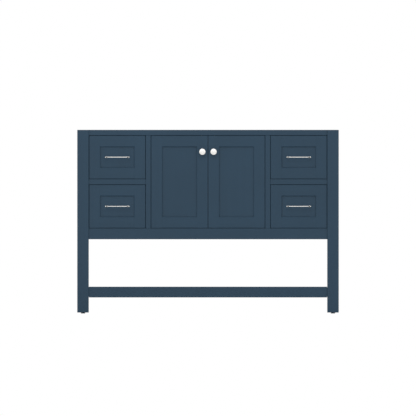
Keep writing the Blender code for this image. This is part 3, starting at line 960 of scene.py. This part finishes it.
def member_shape(width, thickness, half_length, panel, cope, place):
    """A stile or rail of a panelled frame.

    Its section has a rounded outer edge, a bevel at the inner front edge and a groove for the
    panel, which is a rebate where the panel reaches the back. A coped end laps the bevel of the
    member that it meets. Place turns (along, depth, inwards) into a vector.
    """
    bevel, radius = joinery().sticking, joinery().edge_radius
    groove_floor = width - joinery().groove
    near, far = joinery().recess - GAP, joinery().recess + panel + GAP
    back = [(bevel, 0.0), *arc((thickness - radius, radius), radius, -90, 0, 3)]
    if far < thickness:
        back += [(thickness, width), (far, width), (far, groove_floor)]
    else:
        back += [(thickness, groove_floor)]
    back += [(near, groove_floor), (near, width), (bevel, width)]
    front = [(0.0, width - bevel), *arc((radius, radius), radius, 180, 270, 3)]
    section = back + front
    shape = bmesh.new()
    ends = []
    for way in (-1, 1):
        ends.append([shape.verts.new(place(
            way * (half_length + cope * max(0.0, bevel - depth)), depth, inwards))
            for depth, inwards in section])
        shape.faces.new(ends[-1][:len(back)])
        shape.faces.new(ends[-1][len(back) - 1:] + ends[-1][:1])
    for n in range(len(section)):
        shape.faces.new((ends[0][n - 1], ends[0][n], ends[1][n], ends[1][n - 1]))
    return shape


def framed_front(name, body, node, panel_thickness, panel_node=None):
    """A panelled front in place of a CAD node.

    Two coped rails stand between two stiles, with tongues in the stiles' grooves, and a panel
    fills the frame.
    """
    low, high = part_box(node)
    width, bevel, seam = joinery().member, joinery().sticking, joinery().joint
    middle = (low + high) / 2
    thickness = high.y - low.y
    rail_half = (high.x - low.x) / 2 - width - seam
    stile_half = (high.z - low.z) / 2
    tongue = joinery().groove
    tongue_back = min(joinery().recess + panel_thickness, thickness - joinery().edge_radius)
    for edge, z, way in (("top", high.z, -1), ("bottom", low.z, 1)):
        place = lambda a, d, i: (middle.x + a, low.y + d, z + way * i)
        rail = member_shape(width, thickness, rail_half, panel_thickness, 1.0, place)
        core = box_shape(place(-rail_half - tongue, joinery().recess, seam),
                         place(rail_half + tongue, tongue_back, width - tongue))
        add_piece(f"{name}_{edge}_rail", combined_shape(rail, core, "UNION"), "painted_along_x",
                  body, [node])
    for edge, x, way in (("left", low.x, 1), ("right", high.x, -1)):
        shape = member_shape(width, thickness, stile_half, panel_thickness, 0.0,
                             lambda a, d, i: (x + way * i, low.y + d, middle.z + a))
        add_piece(f"{name}_{edge}_stile", shape, "painted_along_z", body, [node])
    bite = width - joinery().groove + seam
    front = low.y + joinery().recess
    shape = box_shape((low.x + bite, front, low.z + bite),
                      (high.x - bite, front + panel_thickness, high.z - bite))
    add_piece(f"{name}_panel", shape, "painted_along_z", body, [panel_node or node])


class VANITY_OT_doors(bpy.types.Operator):
    """Two panelled doors, each with a soft seal along its closing edge"""

    bl_idname = "vanity.doors"
    bl_label = "Doors"

    def execute(self, context):
        for side, sign in SIDES.items():
            framed_front(f"{side}_door", f"{side}_door", f"{side}_door_frame", joinery().panel,
                         f"{side}_door_panel")
            self.seal(side, sign)
        return {"FINISHED"}

    def seal(self, side, sign):
        """A soft black strip let into a door's closing edge; its black also stands in for the shade
        in the gap between the doors.
        """
        low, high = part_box(f"{side}_door_frame")
        edge = low.x if sign > 0 else high.x
        inset, let_in, ease = joinery().edge_radius, 0.0005, 0.0002
        start, end = FRONT_THICKNESS - 0.008, FRONT_THICKNESS - 0.003
        shape = box_shape((edge + sign * let_in, low.y + start, low.z + inset),
                          (sign * GAP / 2, low.y + end, high.z - inset), ease, 1)
        # Black nylon seal: partly a real strip, partly painted shade that darkens the gap between
        # the doors
        add_piece(f"{side}_door_shade_seal", shape, "nylon", f"{side}_door")


class VANITY_OT_stops(bpy.types.Operator):
    """Laths behind the front frame that close the gaps around the doors and drawers"""

    bl_idname = "vanity.stops"
    bl_label = "Stop Laths"

    def execute(self, context):
        back = TOP_RAIL_HIGH.y + GAP
        floor_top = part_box("bottom_rail")[1].z
        thickness, overlap, below_top = joinery().lath, joinery().lath_overlap, 0.02
        self.depth = (back, back + thickness)
        door_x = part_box("right_mullion")[0].x
        self.lath("door_top", -door_x, door_x, TOP_RAIL_LOW.z - 2 * overlap,
                  TOP_RAIL_HIGH.z - below_top)
        self.lath("door_bottom", -door_x, door_x, floor_top, floor_top + 2 * overlap)
        divider_low, divider_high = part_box("right_divider_rail")
        for side, sign in SIDES.items():
            self.door_side(side, sign * door_x, sign, overlap)
            inner, outer = (sign * x for x in (divider_low.x, divider_high.x))
            for name, low, high in (
                ("upper_top", TOP_RAIL_LOW.z - 2 * overlap, TOP_RAIL_LOW.z + overlap),
                ("divider", divider_low.z - 2 * overlap, divider_high.z + 2 * overlap),
                ("lower_bottom", floor_top, floor_top + 2 * overlap),
            ):
                self.lath(f"{side}_{name}", inner, outer, low, high)
            for name, edge, way in (("inner", inner, 1), ("outer", outer, -1)):
                reach = edge + way * sign * overlap
                self.lath(f"{side}_{name}_upright", edge - way * sign * GAP, reach, floor_top,
                          TOP_RAIL_LOW.z)
            self.bumper(side, sign)
        return {"FINISHED"}

    def lath(self, name, x, end_x, low, high):
        shape = box_shape((x, self.depth[0], low), (end_x, self.depth[1], high))
        add_piece(f"{name}_lath", shape, "painted_along_z", "frame")

    def door_side(self, side, edge, sign, overlap):
        """Uprights beside a door, broken where its hinges pass behind a thin strip."""
        start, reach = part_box("bottom_rail")[1].z, edge - sign * overlap
        clear, beside, strip_thickness = 0.002, 0.006, 0.0012
        for n, level in enumerate(("lower", "upper", "")):
            if level:
                arm_low, arm_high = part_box(f"{side}_{level}_hinge_arm")
                end = arm_low.z - clear
                strip = box_shape(
                    (edge + sign * joinery().edge_radius, FRONTS_BACK_Y + GAP, end),
                    (reach, FRONTS_BACK_Y + GAP + strip_thickness, arm_high.z + clear))
                add_piece(f"{side}_{level}_hinge_strip", strip, "painted_along_z", "frame")
            else:
                end = TOP_RAIL_LOW.z
            self.lath(f"{side}_door_upright_{n + 1}", edge + sign * beside, reach, start, end)
            start = arm_high.z + clear

    def bumper(self, side, sign):
        """A felt bumper that the door closes against, on the upper lath."""
        depth, radius = self.depth[0] - FRONTS_BACK_Y - GAP, 0.8 * joinery().lath_overlap
        ease, inset = depth / 4, 0.030
        profile = [(0, 0), (radius, 0), *arc((radius - ease, depth - ease), ease, 0, 90, 3),
                   (0, depth)]
        place = (sign * inset, self.depth[0], TOP_RAIL_LOW.z - 1.2 * radius)
        add_piece(f"{side}_door_bumper", turned_shape(profile, place, "-y", 32), "felt", "frame")


class VANITY_OT_drawer_fronts(bpy.types.Operator):
    """Four panelled drawer fronts"""

    bl_idname = "vanity.drawer_fronts"
    bl_label = "Drawer Fronts"

    def execute(self, context):
        thickness = FRONT_THICKNESS - joinery().recess
        for level in LEVELS:
            for side in SIDES:
                name = f"{level}_{side}_drawer"
                framed_front(name, name, f"{name}_front", thickness)
        return {"FINISHED"}


class VANITY_OT_drawer_boxes(bpy.types.Operator):
    """Dovetailed birch boxes with a plywood bottom and the screws that hold the front"""

    bl_idname = "vanity.drawer_boxes"
    bl_label = "Drawer Boxes"

    def execute(self, context):
        for level in LEVELS:
            for side in SIDES:
                self.box(f"{level}_{side}_drawer")
        return {"FINISHED"}

    def box(self, name):
        node = f"{name}_box"
        low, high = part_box(node)
        wall, ease = joinery().box_wall, 0.0006
        for side, x in (("left", low.x), ("right", high.x - wall)):
            outline = (self.tails(low.y, 1, low.z, high.z)
                       + self.tails(high.y, -1, low.z, high.z)[::-1])
            shape = prism_shape(outline, x, x + wall, lambda y, z, a: (a, y, z))
            add_piece(f"{name}_box_{side}", shape, "birch_along_y", name, [node], sharp=20.0)
        for end, y in (("front", low.y), ("back", high.y - wall)):
            board = box_shape((low.x + wall + GAP, y, low.z),
                              (high.x - wall - GAP, y + wall, high.z), ease, 2)
            shape = joined_shape(board, *self.pins(low, high, y + wall / 2, end == "front"))
            add_piece(f"{name}_box_{end}", shape, "birch_along_x", name, [node], sharp=20.0)
        top = low.z + joinery().box_bottom
        shape = box_shape((low.x + wall / 2, low.y + wall / 2, top - joinery().bottom_sheet),
                          (high.x - wall / 2, high.y - wall / 2, top))
        add_piece(f"{name}_box_bottom", shape, "birch_along_x", name, [node])
        self.front_screws(name, low, high)

    def pin_places(self, low_z, high_z):
        pitch = (high_z - low_z) / joinery().pins
        return [low_z + pitch * (n + 0.5) for n in range(joinery().pins)]

    def tails(self, y, way, low_z, high_z):
        """The end of a side board, from its lower to its upper edge, with a socket for each pin."""
        base, points = y + way * joinery().box_wall, [(y, low_z)]
        for z in self.pin_places(low_z, high_z):
            wide, narrow = joinery().pin_wide / 2, joinery().pin_narrow / 2
            points += [(y, z - narrow), (base, z - wide), (base, z + wide), (y, z + narrow)]
        return points + [(y, high_z)]

    def pins(self, low, high, y, front):
        """Columns of pins that reach through both side boards."""
        wall, lap = joinery().box_wall, 0.0008
        places = self.pin_places(low.z, high.z)
        columns = []
        for x in (low.x + (wall + lap) / 2, high.x - (wall + lap) / 2):
            mesh = grown_mesh("Dovetail Pins", pin_tree, {
                "Count": joinery().pins, "Pitch": places[1] - places[0],
                "Wide": joinery().pin_wide - GAP / 2, "Narrow": joinery().pin_narrow - GAP / 2,
                "Depth": wall, "Length": wall + lap}, finish="birch_along_x")
            turn = Matrix() if front else Matrix.Rotation(pi, 4, "Z")
            mesh.transform(Matrix.Translation((x, y, places[0])) @ turn)
            column = bmesh.new()
            column.from_mesh(mesh)
            columns.append(column)
        return columns

    def front_screws(self, name, low, high):
        inset_x, inset_z, y = 0.040, 0.030, low.y + joinery().box_wall
        spots = [(x, y, z) for x in (low.x + inset_x, high.x - inset_x)
                 for z in (low.z + joinery().box_bottom + inset_z, high.z - inset_z)]
        screws(f"{name}_front_screws", spots, (0, 1, 0), name)


class VANITY_OT_knobs(bpy.types.Operator):
    """Turned mushroom knobs with a fine ring in their face, and the screws behind them"""

    bl_idname = "vanity.knobs"
    bl_label = "Knobs"

    def execute(self, context):
        for side in SIDES:
            node, body = f"{side}_door_knob", f"{side}_door"
            low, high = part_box(node)
            centre = (low + high) / 2
            origin = Vector((centre.x, high.y, centre.z))
            radius, reach = (high.x - low.x) / 2, high.y - low.y
            coat = metal_material(f"{side}_nickel_knob", "satin_nickel", finishes().nickel,
                                  finishes().nickel_roughness, (5200.0, 300.0), origin)
            shape = turned_shape(self.profile(radius, reach), origin, "-y", 96)
            add_piece(f"{side}_knob", shape, coat, body, [node], sharp=50.0)
            back = (centre.x, FRONTS_BACK_Y, centre.z)
            screws(f"{side}_knob_screw", [back], (0, 1, 0), body, hardware().handle_screw)
        return {"FINISHED"}

    def profile(self, radius, reach):
        """Foot, hollow neck, rounded rim and a low dome with one fine ring."""
        foot, neck, rim = radius * 0.50, radius * 0.34, radius * 0.14
        foot_ease, foot_rim, crown = 0.0006, 0.0016, 0.0013
        ring, ring_half, ring_depth = hardware().knob_ring, 0.0003, 0.00022
        dome = lambda r: reach - crown * (r / (radius - rim)) ** 2
        edge = dome(radius - rim)
        head = edge - 2 * rim
        return [
            (0, 0), (foot - foot_ease, 0),
            *arc((foot - foot_ease, foot_ease), foot_ease, -90, 0, 3), (foot, foot_rim),
            *arc((foot, foot_rim + (foot - neck)), foot - neck, -90, -180, 6),
            (neck * 1.02, head * 0.55),
            *arc((neck + head * 0.30, head * 0.66), head * 0.30, 180, 100, 6),
            (radius * 0.72, head + rim * 0.22),
            *arc((radius - rim, edge - rim), rim, -60, 90, 14),
            *((r, dome(r)) for r in (radius * 0.66, radius * 0.54, ring + 2 * ring_half)),
            (ring + ring_half, dome(ring)), (ring, dome(ring) - ring_depth),
            (ring - ring_half, dome(ring)),
            *((r, dome(r)) for r in (ring - 2 * ring_half, radius * 0.24, radius * 0.10)),
            (0, reach),
        ]


class VANITY_OT_pulls(bpy.types.Operator):
    """Slim bar pulls with beaded ends on two posts, and the screws that hold them"""

    bl_idname = "vanity.pulls"
    bl_label = "Pulls"

    def execute(self, context):
        for level in LEVELS:
            for side in SIDES:
                self.pull(f"{level}_{side}_drawer")
        return {"FINISHED"}

    def pull(self, name):
        node = f"{name}_pull"
        low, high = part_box(node)
        bead = (high.z - low.z) / 2
        centre = Vector(((low.x + high.x) / 2, low.y + bead, (low.z + high.z) / 2))
        bar = turned_shape(self.bar_profile((high.x - low.x) / 2, bead), centre, "x", 40)
        add_piece(f"{name}_bar", bar, "nickel_bar", name, [node], sharp=50.0)
        reach = high.y - centre.y
        inside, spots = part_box(f"{name}_box")[0].y + joinery().box_wall, []
        for side, sign in SIDES.items():
            x = centre.x + sign * hardware().pull_spacing / 2
            post = turned_shape(self.post_profile(reach), (x, high.y, centre.z), "-y", 32)
            add_piece(f"{name}_{side}_post", post, "nickel_bar", name, [node], sharp=50.0)
            collar = turned_shape(self.collar_profile(), (x, centre.y, centre.z), "x", 32)
            # The collar's dark colour is painted shade where the bar meets its post
            add_piece(f"{name}_{side}_collar", collar, "dark_nickel", name, [node], sharp=50.0)
            spots.append((x, inside, centre.z))
        screws(f"{name}_pull_screws", spots, (0, 1, 0), name, hardware().handle_screw)

    def bar_profile(self, end, bead):
        """A plain bar, and at each end a neck at the post and a round bead beyond it."""
        bar, neck = hardware().pull_bar, hardware().pull_neck
        post, ease = hardware().pull_spacing / 2, 0.0005
        shoulder, start, fullness = post - 0.0030, post + 0.0022, 2.6
        middle, half_bead = (start + end) / 2, (end - start) / 2
        half = [
            (bar, 0.0), (bar, shoulder - ease), (bar - ease, shoulder),
            (neck, shoulder + 0.0004), (neck, start),
            *((max(neck, bead * (1 - abs(n / 8) ** fullness) ** (1 / fullness)),
               middle + half_bead * n / 8) for n in range(-7, 8)),
            (0.0, end),
        ]
        return [(radius, -along) for radius, along in reversed(half[1:])] + half

    def post_profile(self, reach):
        """A slim post on a small foot, up to just short of the bar's middle."""
        foot, stem, ease, rim = 0.0034, 0.0020, 0.0003, 0.0010
        top, cove = reach - 0.0012, foot - stem
        return [(0, 0), (foot - ease, 0), (foot, ease), (foot, rim),
                *arc((foot, rim + cove), cove, -90, -180, 5), (stem, top), (0, top)]

    def collar_profile(self):
        """A collar around the neck of the bar, its dark nickel colour painted shade where the bar
        meets its post.
        """
        radius, half, ease = hardware().pull_collar, 0.0024, 0.0003
        return [(0, -half), (radius - ease, -half), (radius, ease - half), (radius, half - ease),
                (radius - ease, half), (0, half)]


class VANITY_OT_runners(bpy.types.Operator):
    """Ball-bearing runners: a channel on the case, a bar on the drawer, balls and screws"""

    bl_idname = "vanity.runners"
    bl_label = "Drawer Runners"

    def execute(self, context):
        for level in LEVELS:
            for side, sign in SIDES.items():
                for rank, way in (("inner", sign), ("outer", -sign)):
                    self.runner(f"{level}_{side}", rank, way)
        return {"FINISHED"}

    def runner(self, drawer, rank, way):
        node, body = f"{drawer}_{rank}_runner", f"{drawer}_drawer"
        low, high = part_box(node)
        wall = low.x if way > 0 else high.x
        box_low, box_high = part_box(f"{body}_box")
        space = abs((box_low.x if way > 0 else box_high.x) - wall)
        half, middle = (high.z - low.z) / 2, (high.z + low.z) / 2
        sheet, ball, name = hardware().runner_sheet, hardware().ball, f"{drawer}_{rank}"
        race = ball + 0.4 * sheet + 0.0005
        bend_x, bend_z = race + sheet / 2, half - race - sheet / 2
        place = lambda x, z, y: (wall + way * x, y, middle + z)
        add_piece(f"{name}_channel",
                  prism_shape(self.channel_outline(bend_x, bend_z, race, sheet),
                              low.y + joinery().lath, high.y, place),
                  "zinc_plate", "frame", [node], sharp=50.0)
        mirrored = lambda x, z, y: (wall + way * (space - GAP - x), y, middle + z)
        reach, front_inset, ball_inset = space - GAP - bend_x + ball * 0.6, 0.004, 0.018
        outline = self.slide_outline(bend_z - ball - sheet / 2, sheet, reach)
        add_piece(f"{name}_slide",
                  prism_shape(outline, box_low.y + front_inset, box_high.y, mirrored),
                  "zinc_plate", body, sharp=50.0)
        self.balls(name, low.y + ball_inset, wall + way * bend_x, middle, bend_z)
        for part, carrier, facing, depth, start, end, shares in (
            ("channel", "frame", way, sheet, low.y, high.y, (0.32, 0.62, 0.93)),
            ("slide", body, -way, space - GAP - sheet, box_low.y, box_high.y, (0.08, 0.45, 0.88)),
        ):
            spots = [(wall + way * depth, start + along * (end - start), middle)
                     for along in shares]
            screws(f"{name}_{part}_screws", spots, (facing, 0, 0), carrier,
                   hardware().runner_screw)

    def channel_outline(self, bend_x, bend_z, radius, sheet):
        """The channel's section: a flat web between two round races that are open to the slide."""
        mouth = -35
        return ribbon(arc((bend_x, bend_z), radius, mouth, 180, 10)
                      + arc((bend_x, -bend_z), radius, 180, 360 - mouth, 10), sheet)

    def slide_outline(self, half, sheet, reach):
        """The slide's section: a web with two flat flanges that ride on the balls."""
        bend, sections = 0.0024, []
        for radius in (bend, bend - sheet):
            sections.append(arc((bend, half - bend), radius, 90, 180, 5)
                            + arc((bend, bend - half), radius, 180, 270, 5))
        return ([(reach, half)] + sections[0] + [(reach, -half), (reach, sheet - half)]
                + sections[1][::-1] + [(reach, half - sheet)])

    def balls(self, name, start, x, middle, bend_z):
        """Two rows of balls and the strip that keeps them apart."""
        pitch = 2 * hardware().ball + 0.005
        rows = []
        for z in (middle + bend_z, middle - bend_z):
            mesh = grown_mesh("Ball Row", ball_tree, {
                "Radius": hardware().ball, "Pitch": pitch, "Count": hardware().balls})
            mesh.transform(Matrix.Translation((x, start, z)))
            row = bmesh.new()
            row.from_mesh(mesh)
            rows.append(row)
        add_piece(f"{name}_balls", joined_shape(*rows), "zinc_plate", "frame", sharp=60.0)
        finish, thickness = start + pitch * (hardware().balls - 1), 0.0004
        strip = box_shape((x - thickness, start - pitch / 2, middle - bend_z),
                          (x + thickness, finish + pitch / 2, middle + bend_z))
        add_piece(f"{name}_ball_cage", strip, "zinc_plate", "frame")


class VANITY_OT_hinges(bpy.types.Operator):
    """Concealed hinges: a cup let into each door, and an arm on a plate on each partition"""

    bl_idname = "vanity.hinges"
    bl_label = "Concealed Hinges"

    def execute(self, context):
        for side, sign in SIDES.items():
            for level in LEVELS:
                self.cup(side, level, sign)
                self.arm(side, level, sign)
        return {"FINISHED"}

    def cup(self, side, level, sign):
        """A pot and a flange with two ears, let into the door, and the pin of its joint."""
        node, body, name = f"{side}_{level}_hinge_cup", f"{side}_door", f"{side}_{level}_hinge"
        low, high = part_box(node)
        centre = (low + high) / 2
        flange, depth = 0.0025, FRONTS_BACK_Y - low.y
        radius, sheet, lip, edge = (high.x - low.x) / 2 - flange, 0.0010, 0.0012, 0.0010
        wall, face = radius - sheet, GAP + lip
        outer_bend, inner_bend, ease = 0.0015, 0.0012, 0.0008
        profile = [(0, -depth),
                   *arc((radius - outer_bend, outer_bend - depth), outer_bend, -90, 0, 4),
                   (radius, GAP), (radius + edge, GAP), (radius + edge, face),
                   *arc((wall + ease, face - ease), ease, 90, 180, 3),
                   *arc((wall - inner_bend, sheet + inner_bend - depth), inner_bend, 0, -90, 4),
                   (0, sheet - depth)]
        origin = Vector((centre.x, FRONTS_BACK_Y, centre.z))
        add_piece(f"{name}_cup_pot", turned_shape(profile, origin, "y", 48), "nickel_plate",
                  body, [node], sharp=50.0)
        ear_offset, ear_half_width, ear_half, ear_screw = 0.0095, 0.0065, 0.0290, 0.0225
        shy, play = 0.0001, 0.0002
        middle_x = centre.x - sign * ear_offset
        plate = box_shape((middle_x - ear_half_width, FRONTS_BACK_Y + GAP, centre.z - ear_half),
                          (middle_x + ear_half_width, FRONTS_BACK_Y + face, centre.z + ear_half))
        disc = turned_shape(plug_profile(radius + lip, GAP, face - shy), origin, "y", 48)
        bore = turned_shape(plug_profile(radius + play, -GAP, 2 * face), origin, "y", 48)
        ears = combined_shape(combined_shape(plate, disc, "UNION"), bore)
        add_piece(f"{name}_cup_flange", ears, "nickel_plate", body)
        pin_radius, pin_half, pin_offset, pin_depth = 0.0014, 0.0145, 0.0048, 0.0082
        place = (centre.x - sign * pin_offset, FRONTS_BACK_Y - pin_depth, centre.z)
        pin = turned_shape(plug_profile(pin_radius, -pin_half, pin_half), place, steps=16)
        add_piece(f"{name}_cup_pin", pin, "zinc_plate", body)
        spots = [(middle_x, FRONTS_BACK_Y + face, centre.z + way * ear_screw) for way in (-1, 1)]
        screws(f"{name}_cup_screws", spots, (0, 1, 0), body, hardware().hinge_screw)

    def arm(self, side, level, sign):
        """A plate with two wings on the partition, and the cranked arm that it carries."""
        node, name = f"{side}_{level}_hinge_arm", f"{side}_{level}_hinge"
        low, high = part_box(node)
        middle = (low.z + high.z) / 2
        wall = high.x if sign > 0 else low.x
        reach, half = high.x - low.x, (high.z - low.z) / 2
        place = lambda x, y, z: (wall - sign * x, low.y + y, z)
        plate, start = 0.0020, 0.0150
        wing_plate, wing_half, wing_start, wing_end = 0.0016, 0.0240, 0.0410, 0.0550
        wing_screw = 0.0175
        spine = box_shape(place(0, start, middle - half),
                          place(plate, high.y - low.y, middle + half))
        wings = box_shape(place(0, wing_start, middle - wing_half),
                          place(wing_plate, wing_end, middle + wing_half))
        add_piece(f"{name}_plate", combined_shape(spine, wings, "UNION"), "nickel_plate", "frame",
                  [node])
        spots = [place(wing_plate, (wing_start + wing_end) / 2, middle + way * wing_screw)
                 for way in (-1, 1)]
        screws(f"{name}_plate_screws", spots, (-sign, 0, 0), "frame", hardware().hinge_screw)
        top, back, crank_half, nose_half = 0.0110, 0.0700, half * 0.72, half * 0.5
        crank = [(plate, 0.0250), (plate, back - 0.0020), (plate + 0.0015, back),
                 (top - 0.0015, back), (top, back - 0.0020), (top, 0.0270), (reach, 0.0170),
                 (reach, 0.0015), (reach - 0.0012, 0.0), (0.0115, 0.0), (0.0100, 0.0015),
                 (0.0100, 0.0130), (0.0060, 0.0200)]
        shape = prism_shape(crank, middle - crank_half, middle + crank_half, place)
        bmesh.ops.bevel(shape, geom=shape.edges[:], offset=0.0005, segments=2, profile=0.5,
                        affect="EDGES")
        nose = ribbon([(0.0118, 0.0012), *arc((0.0220, -0.0075), 0.0097, 90, 0, 8)], 0.0024)
        nose = prism_shape(nose, middle - nose_half, middle + nose_half, place)
        add_piece(f"{name}_crank", combined_shape(shape, nose, "UNION"), "nickel_plate", "frame",
                  [node], sharp=50.0)
        spots = [place(top, y, middle) for y in (0.0360, 0.0580)]
        screws(f"{name}_crank_screws", spots, (-sign, 0, 0), "frame")


class VANITY_OT_stage(bpy.types.Operator):
    """A plain pale floor, soft light and a level camera straight in front"""

    bl_idname = "vanity.stage"
    bl_label = "Stage"

    def execute(self, context):
        stage = context.scene.vanity_stage
        self.floor(stage)
        self.backdrop(context.scene, stage)
        self.light("key", stage.key, (-0.8, -6.0, 4.8), (0.0, 0.0, 0.45), (3.4, 3.0))
        camera = bpy.data.cameras.new("camera")
        camera.type, camera.ortho_scale = "ORTHO", stage.view_width
        eye = bpy.data.objects.new("camera", camera)
        eye.location, eye.rotation_euler = (0.0, -4.0, stage.view_height), (pi / 2, 0.0, 0.0)
        context.scene.collection.objects.link(eye)
        context.scene.camera = eye
        context.scene.view_settings.view_transform = "Standard"
        return {"FINISHED"}

    def floor(self, stage):
        """A wide plain floor just below the feet."""
        made, tree, shader, place = start_material("plain_floor", "")
        surface = surface_node(tree, "Moulded Skin", moulded_skin, {
            "Place": place, "Colour": (*stage.floor, 1.0), "Gloss": 0.8, "Texture": 60.0})
        tree.links.new(surface.outputs["Roughness"], shader.inputs["Roughness"])
        shader.inputs["Base Color"].default_value = (*stage.floor, 1.0)
        shape = bmesh.new()
        bmesh.ops.create_grid(shape, x_segments=1, y_segments=1, size=12.0)
        mesh = bpy.data.meshes.new("floor")
        shape.to_mesh(mesh)
        shape.free()
        mesh.materials.append(made)
        floor = bpy.data.objects.new("floor", mesh)
        floor.location.z = CAD_BOX[0][2] - 0.0001
        bpy.context.scene.collection.objects.link(floor)

    def backdrop(self, scene, stage):
        """Even light all around, with a brighter backdrop behind the cabinet."""
        world = bpy.data.worlds.new("studio")
        world.use_nodes = True
        scene.world = world
        tree = world.node_tree
        path = add_node(tree, "ShaderNodeLightPath").outputs
        light = tree.nodes["Background"]
        light.inputs["Color"].default_value = (1.0, 1.0, 1.0, 1.0)
        strength = maths(tree, "MULTIPLY_ADD", path["Is Camera Ray"], stage.backdrop - stage.fill,
                         stage.fill)
        strength = maths(tree, "MULTIPLY_ADD", path["Is Glossy Ray"],
                         stage.gleam - stage.fill, strength)
        tree.links.new(strength, light.inputs["Strength"])

    def light(self, name, power, place, target, size):
        """A rectangular lamp that looks at a target."""
        lamp = bpy.data.lights.new(name, "AREA")
        lamp.shape, lamp.size, lamp.size_y = "RECTANGLE", *size
        lamp.energy = power
        holder = bpy.data.objects.new(name, lamp)
        holder.location = place
        way = Vector(target) - Vector(place)
        holder.rotation_euler = way.to_track_quat("-Z", "Y").to_euler()
        bpy.context.scene.collection.objects.link(holder)


# ---------------------------------------------------------------------------------------------
# Add-on


STEPS = (
    VANITY_OT_legs, VANITY_OT_feet, VANITY_OT_front_frame, VANITY_OT_sides, VANITY_OT_case,
    VANITY_OT_shelf, VANITY_OT_stops, VANITY_OT_doors, VANITY_OT_drawer_fronts,
    VANITY_OT_drawer_boxes, VANITY_OT_knobs, VANITY_OT_pulls, VANITY_OT_runners,
    VANITY_OT_hinges, VANITY_OT_stage,
)
GROUPS = {
    "vanity_finishes": VanityFinishes, "vanity_joinery": VanityJoinery,
    "vanity_hardware": VanityHardware, "vanity_stage": VanityStage,
}


class VANITY_PT_panel(bpy.types.Panel):
    """Lists the settings and the steps that build the cabinet"""

    bl_idname = "VANITY_PT_panel"
    bl_label = "Vanity Cabinet"
    bl_space_type = "VIEW_3D"
    bl_region_type = "UI"
    bl_category = "Vanity"

    def draw(self, context):
        for group in GROUPS:
            column = self.layout.column(align=True)
            settings = getattr(context.scene, group)
            for key in settings.__annotations__:
                column.prop(settings, key)
        for step in STEPS:
            self.layout.operator(step.bl_idname)


def register():
    for group in GROUPS.values():
        bpy.utils.register_class(group)
    for name, group in GROUPS.items():
        setattr(bpy.types.Scene, name, PointerProperty(type=group))
    for step in (*STEPS, VANITY_PT_panel):
        bpy.utils.register_class(step)


def unregister():
    for step in (VANITY_PT_panel, *reversed(STEPS)):
        bpy.utils.unregister_class(step)
    for name in GROUPS:
        delattr(bpy.types.Scene, name)
    for group in reversed(GROUPS.values()):
        bpy.utils.unregister_class(group)


def main():
    register()
    for step in STEPS:
        category, name = step.bl_idname.split(".")
        getattr(getattr(bpy.ops, category), name)()


if __name__ == "__main__":
    main()
